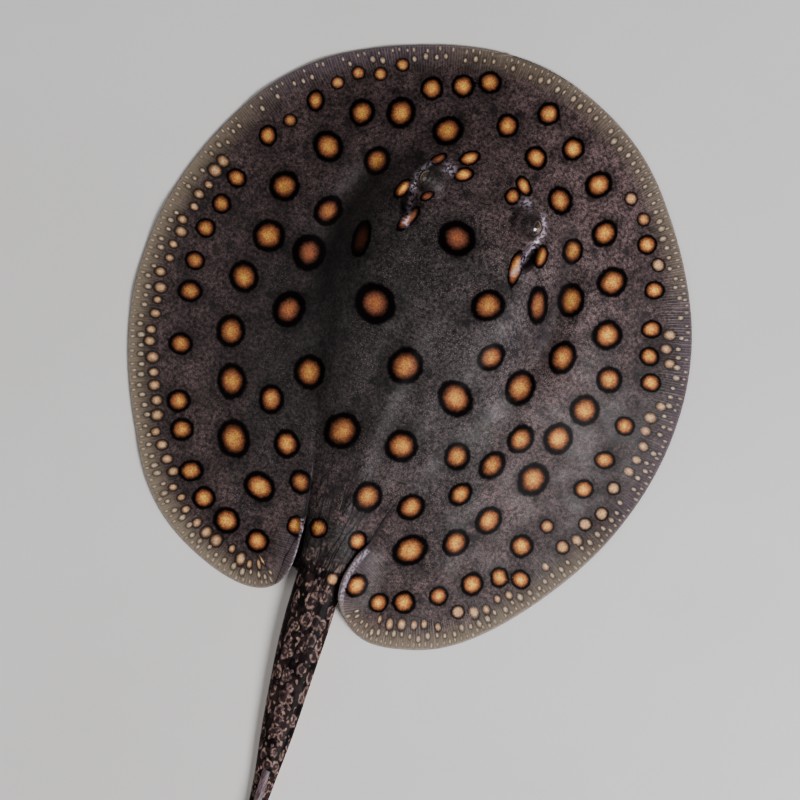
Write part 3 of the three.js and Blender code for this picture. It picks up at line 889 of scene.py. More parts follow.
def spot_table():
    """Every spot of the disc. They get paler and yellower outwards."""
    chance = np.random.default_rng(7)
    spots = []
    for width, places in SPOTS.items():
        for x, y, stretch, turn in places:
            pale = clamp01(math.hypot(x + 30, y) / 240 + 0.0006 * x + 0.3 * (chance.random() - 0.5))
            pale = float(clamp01(pale + ODD_SPOTS.get((x, y), 0.0)))
            ring = mix(SMALL_RING_REACH, RING_REACH, ease((width - 8) / 7))
            ring = mix(MIDDLE_RING_REACH, ring, ease(pale / 0.3))
            root = math.sqrt(stretch)
            turn = -math.radians(turn)
            spots.append(Spot(x, y, width / 2 / root, width / 2 * root, turn, pale, float(ring)))
    for x, y, width, length, turn, pale in NARROW_SPOTS:
        spots.append(Spot(x, y, width / 2, length / 2, -math.radians(turn), pale, NARROW_RING_REACH))
    return spots


def mark_painted_light(skin):
    """How light the ground is from place to place: painted light on the right flank, painted shade on the
    left, at the right rim and at the front.
    """
    x, y = get_points(skin)[:, :2].T
    painted_light_and_shade = 1
    for middle_x, middle_y, across, along, strength in PAINTED_LIGHT_FIELDS:
        painted_light_and_shade = painted_light_and_shade + strength * bell(np.hypot((x - middle_x) / across, (y - middle_y) / along))
    set_attribute(skin, "painted_light_and_shade", painted_light_and_shade)


def mark_wetness_and_glints(skin):
    """Where slime and water stay, and where pale glints of wet light are painted: beside the eyes down to
    the spiracles, and on the lobes' inner edges.
    """
    x, y = get_points(skin)[:, :2].T
    wide = np.abs(x - FACE_MIDDLE)
    run = through((66, 43), (84, 46.5), (95, 49), (105, 50.5), (113, 47), (120, 43))
    beside_eye = bell((wide - run(y)) / 2.0) * ease((y - 64) / 6) * ease((120 - y) / 6)
    before_eye = 0.8 * bell(np.hypot(wide - 31, y - 118) / 4)
    rim = get_attribute(skin, "rim_place")
    lobe_edge = 0.6 * bell((rim[:, 1] - 0.6) / 0.8) * ease((np.abs(rim[:, 0]) - LOBE_TIP_ALONG - 5) / 12)
    wettest = np.maximum(np.maximum(beside_eye, before_eye), lobe_edge)
    set_attribute(skin, "wetness_and_glints", clamp01(wettest) * upper_side(skin))


def mark_rim_room(skin):
    """Marks the dots of the innermost rim row that are left out, and how crowded the other rows are."""
    x, y = get_points(skin)[:, :2].T
    row = RIM_ROWS[0]
    rim = get_attribute(skin, "rim_place")
    number = np.floor(rim[:, 0] / row.spacing)
    in_row = (np.abs(rim[:, 1] - row.inward) < 3) & upper_side(skin)
    along = (number + 0.5) * row.spacing
    taken = ((along > BARE_FRONT[0]) & (along < BARE_FRONT[1])).astype(float)
    spots = spot_table()
    for each in np.unique(number[in_row]):
        here = in_row & (number == each)
        dot = (x[here].mean(), y[here].mean())
        room = row.half_width + 1
        if any(math.dist(dot, (spot.x, spot.y)) < 1.45 * spot.half_length + room for spot in spots):
            taken[number == each] = 1.0
    set_attribute(skin, "rim_taken", taken)
    set_attribute(skin, "rim_dots", rim_crowding(rim[:, 0]))


def mark_spots(skin):
    """Stores each vertex's way to its nearest spot, in units of that spot's size, and how far that is."""
    x, y = get_points(skin)[:, :2].T
    best = np.full(len(x), NOWHERE_NEAR)
    way = np.zeros((len(x), 3))
    ring_reach = np.full(len(x), RING_REACH)
    for spot in spot_table():
        dx, dy = x - spot.x, y - spot.y
        cos, sin = math.cos(spot.turn), math.sin(spot.turn)
        across = (dx * cos + dy * sin) / spot.half_width
        along = (-dx * sin + dy * cos) / spot.half_length
        share = np.hypot(across, along)
        nearer = share < best
        best[nearer] = share[nearer]
        way[nearer] = np.stack((across, along, np.full_like(dx, spot.paleness)), axis=-1)[nearer]
        ring_reach[nearer] = spot.ring_reach
    on_tail = (get_attribute(skin, "rim_place")[:, 2] > 0.5) & (y < -200)
    best[on_tail | lower_side(skin)] = NOWHERE_NEAR
    set_attribute(skin, "spot_way", way)
    set_attribute(skin, "spot_reach", best)
    set_attribute(skin, "ring_reach", ring_reach)


# ---- shader helpers ----


def add(tree, kind, inputs=None, **settings):
    """A node with its settings, and with a link or a value for each input given."""
    made = tree.nodes.new(kind)
    for name, value in settings.items():
        setattr(made, name, value)
    for socket, value in (inputs or {}).items():
        if isinstance(value, bpy.types.NodeSocket):
            tree.links.new(value, made.inputs[socket])
        else:
            made.inputs[socket].default_value = value
    return made


def calc(tree, operation, a, b=0.0, c=0.0):
    return add(tree, "ShaderNodeMath", {0: a, 1: b, 2: c}, operation=operation).outputs[0]


def times(tree, first, *factors):
    for factor in factors:
        first = calc(tree, "MULTIPLY", first, factor)
    return first


def vector_calc(tree, operation, a, b=(0, 0, 0), c=(0, 0, 0)):
    made = add(tree, "ShaderNodeVectorMath", {0: a, 1: b, 2: c}, operation=operation)
    return made.outputs["Value" if operation == "LENGTH" else "Vector"]


def split(tree, vector):
    return add(tree, "ShaderNodeSeparateXYZ", {0: vector}).outputs


def flat_vector(tree, x, y):
    return add(tree, "ShaderNodeCombineXYZ", {0: x, 1: y}).outputs[0]


def span(tree, value, low, high, to_low=0.0, to_high=1.0, smooth=True):
    """The value's place between low and high, held at the ends."""
    kind = "SMOOTHSTEP" if smooth else "LINEAR"
    sockets = {"Value": value, "From Min": low, "From Max": high, "To Min": to_low, "To Max": to_high}
    return add(tree, "ShaderNodeMapRange", sockets, interpolation_type=kind).outputs[0]


def fade(tree, value, low, high):
    """One below low, nothing above high."""
    return calc(tree, "SUBTRACT", 1.0, span(tree, value, low, high))


def tint(tree, share, a, b, blend="MIX"):
    """Colour a with this share of colour b over it."""
    return add(tree, "ShaderNodeMix", {0: share, 6: a, 7: b}, data_type="RGBA", blend_type=blend).outputs[2]


def shaded(tree, colour, strength):
    return tint(tree, 1.0, colour, strength, "MULTIPLY")


def noise(tree, place, scale, detail=3.0, roughness=0.55, output="Fac"):
    sockets = {"Vector": place, "Scale": scale, "Detail": detail, "Roughness": roughness}
    return add(tree, "ShaderNodeTexNoise", sockets).outputs[output]


def swing(tree, place, scale, detail):
    """Noise that swings to both sides of nothing."""
    return calc(tree, "SUBTRACT", noise(tree, place, scale, detail), 0.5)


def shake(tree, place, scale, reach, moved):
    """The place moved, pushed about by a noise on the first place."""
    push = vector_calc(tree, "SUBTRACT", noise(tree, place, scale, 2.0, output="Color"), (0.5,) * 3)
    return vector_calc(tree, "MULTIPLY_ADD", push, (reach,) * 3, moved)


def cells(tree, place, scale, output="Distance", dimensions="2D"):
    sockets = {"Vector": place, "Scale": scale}
    return add(tree, "ShaderNodeTexVoronoi", sockets, voronoi_dimensions=dimensions).outputs[output]


def stored(tree, name, output="Vector"):
    return add(tree, "ShaderNodeAttribute", attribute_name=name).outputs[output]


def object_place(tree):
    return add(tree, "ShaderNodeTexCoord").outputs["Object"]


def linear(red, green, blue):
    """A colour given as it looks on a screen, from 0 to 255, turned into the renderer's own."""
    return (*(pow((value / 255 + 0.055) / 1.055, 2.4) if value > 10 else value / 255 / 12.92
              for value in (red, green, blue)), 1.0)


def new_group(name, inputs, outputs):
    """A node group with named sockets. Each socket is (name, kind, default)."""
    tree = bpy.data.node_groups.new(name, "ShaderNodeTree")
    for sockets, way in ((inputs, "INPUT"), (outputs, "OUTPUT")):
        for label, kind, default in sockets:
            socket = tree.interface.new_socket(label, in_out=way, socket_type="NodeSocket" + kind)
            if default is not None:
                socket.default_value = default
    entry = tree.nodes.new("NodeGroupInput")
    leave = tree.nodes.new("NodeGroupOutput")
    return tree, entry.outputs, leave.inputs


def use(tree, name, inputs):
    """Places a shared node group, which is built when it is first asked for."""
    if name not in bpy.data.node_groups:
        GROUP_BUILDERS[name](name)
    return add(tree, "ShaderNodeGroup", inputs, node_tree=bpy.data.node_groups[name]).outputs


def bump(tree, shader, height, strength, distance):
    made = add(tree, "ShaderNodeBump", {"Height": height, "Strength": strength, "Distance": distance})
    tree.links.new(made.outputs[0], shader.inputs["Normal"])


def new_material(name):
    material = bpy.data.materials.new(name)
    material.use_nodes = True
    tree = material.node_tree
    return material, tree, tree.nodes["Principled BSDF"]


# ---- node groups ----


def spot_paint_group(name):
    """Paints one kind of eye-shaped spot over a ground: a mottled pale centre in a soft near-black ring."""
    tree, given, result = new_group(
        name,
        (
            ("Ground", "Color", None), ("Nearness", "Float", NOWHERE_NEAR), ("Chance", "Float", 0.5),
            ("Place", "Vector", None),
            ("Heart", "Color", linear(134, 71, 42)), ("Edge", "Color", linear(90, 43, 29)),
            ("Pale Heart", "Color", linear(236, 180, 70)), ("Pale Edge", "Color", linear(168, 98, 54)),
            ("Cream", "Color", linear(190, 160, 128)), ("Creaminess", "Float", 0.0),
            ("Ring", "Color", linear(3, 1, 2)), ("Ring Reach", "Float", RING_REACH),
            ("Ring Strength", "Float", 1.0), ("Fray", "Float", 0.3),
        ),
        (("Colour", "Color", None), ("Centre", "Float", None), ("Ringed", "Float", None)),
    )
    ragged = swing(tree, given["Place"], 330, 2.5)
    nearness = calc(tree, "MULTIPLY_ADD", ragged, given["Fray"], given["Nearness"])
    coarse = swing(tree, given["Place"], 95, 1.0)
    nearness = calc(tree, "MULTIPLY_ADD", coarse, given["Fray"], nearness)
    ring_edge = times(tree, given["Ring Reach"], RING_EDGE_SHARE)
    ring = fade(tree, nearness, ring_edge, given["Ring Reach"])
    halo = fade(tree, nearness, given["Ring Reach"], HALO_REACH)
    ring = calc(tree, "MAXIMUM", ring, times(tree, halo, 0.25))
    ring = times(tree, ring, given["Ring Strength"])
    centre = fade(tree, nearness, *CENTRE_EDGE)
    centre = times(tree, centre, span(tree, given["Chance"], -0.9, 0.0, 0.2, 1.0))
    blotches = swing(tree, given["Place"], 240, 2.0)
    towards_edge = span(tree, calc(tree, "MULTIPLY_ADD", blotches, 0.9, nearness), 0.0, 0.8)
    heart = tint(tree, given["Chance"], given["Heart"], given["Pale Heart"])
    edge = tint(tree, given["Chance"], given["Edge"], given["Pale Edge"])
    pale = tint(tree, given["Creaminess"], tint(tree, towards_edge, heart, edge), given["Cream"])
    grain = span(tree, noise(tree, given["Place"], 900, 2.0), 0.35, 0.65, 0.66, 1.22)
    pale = shaded(tree, pale, grain)
    smoke = times(tree, span(tree, nearness, 0.5, 1.05), 0.25)
    pale = tint(tree, smoke, pale, given["Ring"])
    dark = tint(tree, ring, given["Ground"], given["Ring"])
    tree.links.new(tint(tree, centre, dark, pale), result["Colour"])
    tree.links.new(centre, result["Centre"])
    tree.links.new(ring, result["Ringed"])
    return tree


def rim_row_group(name):
    """A row of spots that follows the rim: how near a place is to its spot, in units of the spot's size."""
    tree, given, result = new_group(
        name,
        (
            ("Rim Place", "Vector", None), ("Inward", "Float", 7.0), ("Spacing", "Float", 7.0),
            ("Half Width", "Float", 1.8), ("Half Length", "Float", 2.6), ("Wander", "Float", 0.5),
            ("Seed", "Float", 0.0),
        ),
        (("Nearness", "Float", None), ("Chance", "Float", None)),
    )
    parts = split(tree, given["Rim Place"])
    count = calc(tree, "DIVIDE", parts[0], given["Spacing"])
    number = calc(tree, "FLOOR", count)
    seed = calc(tree, "ADD", number, given["Seed"])
    dice = add(tree, "ShaderNodeTexWhiteNoise", {"W": seed}, noise_dimensions="1D")
    throws = split(tree, dice.outputs["Color"])
    across = calc(tree, "SUBTRACT", calc(tree, "SUBTRACT", count, number), 0.5)
    stray = times(tree, calc(tree, "SUBTRACT", throws[0], 0.5), times(tree, given["Wander"], 0.5))
    across = times(tree, calc(tree, "SUBTRACT", across, stray), given["Spacing"])
    across = calc(tree, "DIVIDE", across, given["Half Width"])
    drift = times(tree, calc(tree, "SUBTRACT", throws[1], 0.5), given["Wander"], given["Spacing"])
    inward = calc(tree, "SUBTRACT", calc(tree, "SUBTRACT", parts[1], given["Inward"]), drift)
    inward = calc(tree, "DIVIDE", inward, given["Half Length"])
    size = span(tree, throws[2], 0.0, 1.0, 1.35, 0.8, smooth=False)
    squares = calc(tree, "ADD", times(tree, across, across), times(tree, inward, inward))
    tree.links.new(times(tree, calc(tree, "SQRT", squares), size), result["Nearness"])
    tree.links.new(throws[2], result["Chance"])
    return tree


def ground_group(name):
    """The colour between the spots: mottled, greyer over the body and paler at the rim, with painted light
    and shade over it, and a thin pale margin that is partly painted highlight.
    """
    tree, given, result = new_group(
        name,
        (
            ("Place", "Vector", None), ("Rim Place", "Vector", None), ("Rim Paleness And Shade", "Float", 1.0),
            ("Middle", "Color", linear(38, 33, 33)), ("Outer", "Color", linear(55, 43, 43)),
            ("Rim", "Color", linear(112, 101, 85)), ("Dusky Rim", "Color", linear(78, 68, 82)),
            ("Denticles", "Float", 1.0), ("Painted Light And Shade", "Float", 1.0),
        ),
        (("Colour", "Color", None), ("Grain", "Float", None)),
    )
    parts = split(tree, given["Rim Place"])
    broad = noise(tree, given["Place"], 14, 3.0)
    outward = calc(tree, "MULTIPLY_ADD", calc(tree, "SUBTRACT", broad, 0.5), -90.0, parts[1])
    ground = tint(tree, span(tree, outward, *BACK_ZONE), given["Outer"], given["Middle"])
    cloud = span(tree, noise(tree, given["Place"], 62, 4.0, 0.62), 0.3, 0.7, 0.6, 1.32)
    ground = shaded(tree, ground, cloud)
    leather = span(tree, noise(tree, given["Place"], 400, 3.0, 0.6), 0.3, 0.7, 0.18, 1.95)
    ground = shaded(tree, ground, leather)
    pores = span(tree, noise(tree, given["Place"], 1150, 2.0, 0.6), 0.36, 0.64, 0.5, 1.5)
    ground = shaded(tree, ground, pores)
    frayed = shake(tree, given["Place"], 180, 0.008, given["Place"])
    smudge = fade(tree, cells(tree, frayed, 30), 0.05, 0.14)
    ground = tint(tree, times(tree, smudge, 0.75), ground, linear(10, 6, 9))
    grain = fade(tree, cells(tree, given["Place"], 640, dimensions="3D"), 0.14, 0.38)
    patchy = span(tree, noise(tree, given["Place"], 48, 3.0), 0.36, 0.66)
    grain = times(tree, grain, times(tree, patchy, span(tree, parts[1], 30, 80)), given["Denticles"])
    ground = tint(tree, times(tree, grain, 0.5), ground, linear(104, 95, 90))
    # Painted light and shade: the ground made lighter or darker in broad fields.
    ground = shaded(tree, ground, given["Painted Light And Shade"])
    # The rim's pale band; where the rim paleness is low, on the right side and at the left front, it is held
    # down as painted shade and turns dusky.
    rim = fade(tree, parts[1], 0, RIM_BAND)
    rim = times(tree, rim, calc(tree, "MAXIMUM", given["Rim Paleness And Shade"], 0.45))
    rim_colour = tint(tree, span(tree, given["Rim Paleness And Shade"], 0.2, 0.6), given["Dusky Rim"], given["Rim"])
    ground = tint(tree, rim, ground, rim_colour)
    # A thin pale margin at the very rim: partly the rim's own pale edge, partly a painted highlight where
    # the edge catches the light.
    margin = fade(tree, parts[1], *MARGIN_EDGE)
    margin = times(tree, margin, 0.7, given["Rim Paleness And Shade"])
    ground = tint(tree, margin, ground, linear(142, 132, 124))
    tree.links.new(ground, result["Colour"])
    tree.links.new(grain, result["Grain"])
    return tree


def fin_ray_group(name):
    """Fine lines that run in from the rim, strongest at the rim itself."""
    tree, given, result = new_group(
        name,
        (("Rim Place", "Vector", None), ("Spacing", "Float", 2.1), ("Reach", "Float", 30.0)),
        (("Line", "Float", None),),
    )
    parts = split(tree, given["Rim Place"])
    squeezed = flat_vector(tree, parts[0], times(tree, parts[1], 0.12))
    bend = noise(tree, squeezed, 0.16, 2.0)
    count = calc(tree, "DIVIDE", calc(tree, "MULTIPLY_ADD", bend, 5.0, parts[0]), given["Spacing"])
    wave = calc(tree, "ABSOLUTE", calc(tree, "SINE", times(tree, count, math.pi)))
    line = fade(tree, wave, 0.0, 0.75)
    tree.links.new(times(tree, line, fade(tree, parts[1], 0.0, given["Reach"])), result["Line"])
    return tree


def tail_paint_group(name):
    """The tail's crowded pale blotches, some of them broken rings, on near-black skin."""
    tree, given, result = new_group(
        name,
        (
            ("Place", "Vector", None), ("Tail Place", "Vector", None),
            ("Ground", "Color", linear(10, 7, 8)), ("Blotch", "Color", linear(140, 116, 106)),
        ),
        (("Colour", "Color", None), ("Blotched", "Float", None)),
    )
    warped = shake(tree, given["Place"], 170, 0.5, given["Tail Place"])
    squeezed = vector_calc(tree, "MULTIPLY", warped, (1.0, 0.8, 1.0))
    near = cells(tree, squeezed, 1.0)
    dice = add(tree, "ShaderNodeSeparateColor", {0: cells(tree, squeezed, 1.0, "Color")}).outputs
    size = span(tree, dice[0], 0.0, 1.0, 0.22, 0.4, smooth=False)
    from_line = calc(tree, "ABSOLUTE", calc(tree, "SUBTRACT", near, size))
    broken = span(tree, noise(tree, given["Place"], 210, 2.0), 0.4, 0.54)
    circle = times(tree, fade(tree, from_line, 0.03, 0.14), broken)
    inside = span(tree, calc(tree, "SUBTRACT", size, near), -0.04, 0.06)
    core = fade(tree, near, 0.04, 0.13)
    core = times(tree, core, calc(tree, "GREATER_THAN", dice[1], 0.5))
    small_near = cells(tree, vector_calc(tree, "ADD", squeezed, (0.2, 0.1, 0.3)), 1.7)
    dots = fade(tree, small_near, 0.12, 0.3)
    dots = times(tree, dots, span(tree, noise(tree, given["Place"], 120, 1.0), 0.48, 0.58))
    blotch = calc(tree, "MAXIMUM", calc(tree, "MAXIMUM", circle, times(tree, core, 0.6)), dots)
    shade = span(tree, noise(tree, given["Place"], 300, 2.0), 0.3, 0.7, 0.4, 1.25)
    pale = shaded(tree, given["Blotch"], shade)
    smoky = span(tree, noise(tree, given["Place"], 100, 3.0, 0.6), 0.4, 0.66)
    ground = tint(tree, smoky, given["Ground"], linear(40, 29, 29))
    ground = tint(tree, times(tree, inside, 0.5), ground, linear(58, 43, 45))
    tree.links.new(tint(tree, times(tree, blotch, 0.85), ground, pale), result["Colour"])
    tree.links.new(blotch, result["Blotched"])
    return tree


def wet_group(name):
    """How rough a wet surface is: a film of water that has drawn back in patches."""
    tree, given, result = new_group(
        name,
        (
            ("Place", "Vector", None), ("Wet", "Float", 0.22), ("Damp", "Float", 0.5),
            ("Scale", "Float", 40.0),
        ),
        (("Roughness", "Float", None),),
    )
    patches = span(tree, noise(tree, given["Place"], given["Scale"], 4.0), 0.36, 0.64)
    tree.links.new(tint(tree, patches, given["Wet"], given["Damp"]), result["Roughness"])
    return tree


GROUP_BUILDERS = {
    "Eye Spot Paint": spot_paint_group, "Rim Row": rim_row_group, "Skin Ground": ground_group,
    "Fin Rays": fin_ray_group, "Tail Paint": tail_paint_group, "Wet Film": wet_group,
}


# ---- materials ----

RimRow = namedtuple("RimRow", "inward spacing half_width half_length wander heart edge ring")

# The rows of dots along the rim, from the innermost out.
RIM_ROWS = (
    RimRow(18.0, 11.4, 3.4, 3.9, 0.5, linear(206, 174, 134), linear(154, 114, 80), 0.9),
    RimRow(9.4, 7.6, 1.8, 2.5, 0.5, linear(190, 172, 146), linear(142, 122, 100), 0.6),
    RimRow(3.6, 4.9, 1.1, 2.0, 0.42, linear(164, 152, 132), linear(128, 114, 98), 0.25),
)


def paint_rim_dots(tree, colour, place, rim_place):
    """The rows of dots along the rim, over a colour."""
    along = calc(tree, "ABSOLUTE", split(tree, rim_place)[0])
    lobe_tip = span(tree, along, LOBE_TIP_ALONG, LOBE_TIP_ALONG + 25)
    crowding = stored(tree, "rim_dots", "Fac")
    for number, row in enumerate(RIM_ROWS):
        dots = use(tree, "Rim Row", {
            "Rim Place": rim_place, "Inward": row.inward, "Spacing": row.spacing, "Wander": row.wander,
            "Half Width": row.half_width, "Half Length": row.half_length, "Seed": 17.0 * number,
        })
        if number == 0:
            taken = stored(tree, "rim_taken", "Fac")
        else:
            taken = calc(tree, "GREATER_THAN", dots["Chance"], crowding)
        left_out = calc(tree, "MAXIMUM", taken, lobe_tip)
        nearness = calc(tree, "MULTIPLY_ADD", left_out, NOWHERE_NEAR, dots["Nearness"])
        colour = use(tree, "Eye Spot Paint", {
            "Ground": colour, "Nearness": nearness, "Chance": 0.0, "Place": place, "Heart": row.heart,
            "Edge": row.edge, "Ring Strength": row.ring, "Ring Reach": SMALL_RING_REACH,
        })["Colour"]
    return colour


def paint_eye_spots(tree, colour, place):
    """The disc's eye-shaped spots, over a colour."""
    way = stored(tree, "spot_way")
    exact = vector_calc(tree, "LENGTH", vector_calc(tree, "MULTIPLY", way, (1, 1, 0)))
    listed = stored(tree, "spot_reach", "Fac")
    reach = calc(tree, "SUBTRACT", listed, span(tree, listed, 0.9, 1.4, 0.3, 0.04))
    chance = split(tree, way)[2]
    ring_reach = stored(tree, "ring_reach", "Fac")
    small = fade(tree, ring_reach, SMALL_RING_REACH, SMALL_RING_REACH + 0.05)
    cream = calc(tree, "MULTIPLY_ADD", small, span(tree, chance, 0.7, 1.0, 0.05, 0.6), 0.06)
    return use(tree, "Eye Spot Paint", {
        "Ground": colour, "Nearness": calc(tree, "MAXIMUM", exact, reach), "Chance": chance, "Place": place,
        "Creaminess": cream, "Ring Reach": ring_reach,
        "Ring Strength": calc(tree, "MULTIPLY_ADD", small, -0.12, 1.0),
    })


def tail_root_wrinkles_and_shade(tree, place):
    """Fine folds along the rear of the trunk and the tail's root, as a mask for their relief and for painted
    shade in them.
    """
    stretched = vector_calc(tree, "MULTIPLY", place, (1.0, 0.07, 1.0))
    from_fold = calc(tree, "ABSOLUTE", swing(tree, stretched, 120, 2.0))
    parts = split(tree, place)
    share = fade(tree, calc(tree, "ABSOLUTE", parts[0]), 0.018, 0.03)
    share = times(tree, share, span(tree, times(tree, parts[1], -1.0), 0.085, 0.14))
    return times(tree, fade(tree, from_fold, 0.0, 0.065), share)


def skin_material(denticles):
    material, tree, shader = new_material("ray_skin")
    place = object_place(tree)
    rim_place = stored(tree, "rim_place")
    parts = split(tree, rim_place)
    wetness_and_glints = stored(tree, "wetness_and_glints", "Fac")

    ground = use(tree, "Skin Ground", {
        "Place": place, "Rim Place": rim_place, "Rim Paleness And Shade": stored(tree, "rim_pale_and_shade", "Fac"),
        "Denticles": denticles, "Painted Light And Shade": stored(tree, "painted_light_and_shade", "Fac"),
    })
    rays = use(tree, "Fin Rays", {"Rim Place": rim_place})["Line"]
    colour = tint(tree, times(tree, rays, 0.26), ground["Colour"], linear(142, 126, 110))
    colour = paint_rim_dots(tree, colour, place, rim_place)
    tail = use(tree, "Tail Paint", {"Place": place, "Tail Place": stored(tree, "tail_place")})
    ragged = swing(tree, place, 70, 3.0)
    tail_share = span(tree, calc(tree, "MULTIPLY_ADD", ragged, 0.8, parts[2]), 0.1, 0.9)
    colour = tint(tree, tail_share, colour, tail["Colour"])
    wrinkles = tail_root_wrinkles_and_shade(tree, place)
    # Painted shade: near-black in the grooves of the tail root's folds.
    colour = tint(tree, times(tree, wrinkles, 0.85), colour, linear(8, 5, 7))
    spots = paint_eye_spots(tree, colour, place)
    # Painted shade: near-black over the folds beside the body and head, inside the spiracles and on the eye
    # knobs' tops.
    crease_shade = times(tree, stored(tree, "crease_shade", "Fac"), 0.75)
    colour = tint(tree, crease_shade, spots["Colour"], linear(14, 10, 11))
    # Painted highlights: thin pale lilac streaks where the skin is wet, standing for glints of light on the
    # water film.
    painted_glints = span(tree, noise(tree, place, 420, 2.0, 0.5), 0.46, 0.56)
    colour = tint(tree, times(tree, painted_glints, wetness_and_glints, 0.8), colour, linear(190, 176, 196))
    belly_edge = calc(tree, "MULTIPLY_ADD", swing(tree, place, 60, 3.0), 16.0, parts[1])
    belly = tint(tree, span(tree, belly_edge, 8, 34), linear(96, 84, 78), linear(214, 200, 188))
    colour = tint(tree, span(tree, stored(tree, "underside", "Fac"), 0.45, 0.75), colour, belly)
    tree.links.new(colour, shader.inputs["Base Color"])

    wet = use(tree, "Wet Film", {"Place": place, "Wet": 0.4, "Damp": 0.62})
    tree.links.new(calc(tree, "MULTIPLY_ADD", wetness_and_glints, -0.14, wet["Roughness"]), shader.inputs["Roughness"])
    sheen = calc(tree, "MULTIPLY_ADD", calc(tree, "MAXIMUM", spots["Ringed"], tail_share), -0.17, 0.19)
    tree.links.new(calc(tree, "MULTIPLY_ADD", wetness_and_glints, 0.6, sheen), shader.inputs["Specular IOR Level"])
    shader.inputs["Coat Weight"].default_value = 0.02
    shader.inputs["Coat Roughness"].default_value = 0.25

    height = times(tree, noise(tree, place, 700, 3.0, 0.6), 0.35)
    for relief, share in (
        (noise(tree, place, 120, 3.0), 0.6), (ground["Grain"], 0.35), (rays, 0.5), (wrinkles, -0.8),
        (wetness_and_glints, noise(tree, place, 380, 2.0)), (spots["Centre"], 0.18),
    ):
        height = calc(tree, "MULTIPLY_ADD", relief, share, height)
    bump(tree, shader, height, 0.5, 0.0008)
    return material


def eye_material():
    """A dark golden iris with a crescent pupil. The gaze attribute holds places as seen along the gaze."""
    material, tree, shader = new_material("ray_eye")
    across, up, forward = tuple(split(tree, stored(tree, "gaze")))
    from_middle = vector_calc(tree, "LENGTH", flat_vector(tree, across, up))
    pupil_place = flat_vector(tree, calc(tree, "DIVIDE", across, 1.25), calc(tree, "ADD", up, 0.06))
    pupil = fade(tree, vector_calc(tree, "LENGTH", pupil_place), 0.26, 0.3)
    cover_place = flat_vector(tree, across, calc(tree, "SUBTRACT", up, 0.2))
    uncovered = span(tree, vector_calc(tree, "LENGTH", cover_place), 0.24, 0.28)
    place = object_place(tree)
    flecks = noise(tree, place, 1500, 3.0, 0.6)
    iris = tint(tree, span(tree, flecks, 0.4, 0.65), linear(34, 25, 20), linear(104, 78, 50))
    iris = tint(tree, span(tree, from_middle, 0.45, 0.72), iris, linear(18, 13, 12))
    colour = tint(tree, times(tree, pupil, uncovered), iris, linear(4, 4, 6))
    behind = calc(tree, "LESS_THAN", forward, 0.0)
    tree.links.new(tint(tree, behind, colour, linear(60, 50, 48)), shader.inputs["Base Color"])
    wet = use(tree, "Wet Film", {"Place": place, "Wet": 0.05, "Damp": 0.12, "Scale": 200.0})
    tree.links.new(wet["Roughness"], shader.inputs["Roughness"])
    shader.inputs["Coat Weight"].default_value = 1.0
    shader.inputs["Coat Roughness"].default_value = 0.03
    return material


def sting_material():
    material, tree, shader = new_material("ray_sting")
    place = object_place(tree)
    streaks = vector_calc(tree, "MULTIPLY", place, (1.0, 0.12, 1.0))
    grain = noise(tree, streaks, 1300, 3.0)
    colour = tint(tree, span(tree, grain, 0.35, 0.65), linear(44, 33, 40), linear(112, 90, 94))
    stain = span(tree, noise(tree, place, 90, 3.0), 0.45, 0.7)
    colour = tint(tree, times(tree, stain, 0.6), colour, linear(34, 23, 32))
    tree.links.new(colour, shader.inputs["Base Color"])
    shader.inputs["Specular IOR Level"].default_value = 0.25
    wet = use(tree, "Wet Film", {"Place": place, "Wet": 0.38, "Damp": 0.55, "Scale": 120.0})
    tree.links.new(wet["Roughness"], shader.inputs["Roughness"])
    bump(tree, shader, grain, 0.5, 0.0003)
    return material


def floor_material():
    material, tree, shader = new_material("pale_floor")
    place = object_place(tree)
    shade = noise(tree, place, 3.0, 4.0)
    colour = tint(tree, span(tree, shade, 0.3, 0.7), linear(203, 203, 200), linear(211, 211, 209))
    tree.links.new(colour, shader.inputs["Base Color"])
    shader.inputs["Roughness"].default_value = 0.7
    return material


# ---- other pieces ----


def dress(piece, material, slot_name, *nodes):
    """Gives a piece its material, hangs it under the root body, and hides the solids of the nodes it stands
    for. The slot name is not used.
    """
    piece.data.materials.clear()
    piece.data.materials.append(material)
    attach(piece, "root")
    if nodes:
        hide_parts(*nodes)


def build_eye(name, side):
    """An eyeball with a slightly swollen cornea, its poles on the gaze."""
    eye, directions = ball(name, 64, 48, np.eye(3))
    cornea = 1 + 0.035 * bell(np.hypot(directions[:, 0], directions[:, 1]) / 0.6) * (directions[:, 2] > 0)
    place_round_eye(eye, (directions @ GAZE_TURN.T) * cornea[:, None] * (EYE_RADIUS - EYE_CLEARANCE), side)
    set_attribute(eye, "gaze", directions)
    shade_smooth(eye)
    return eye


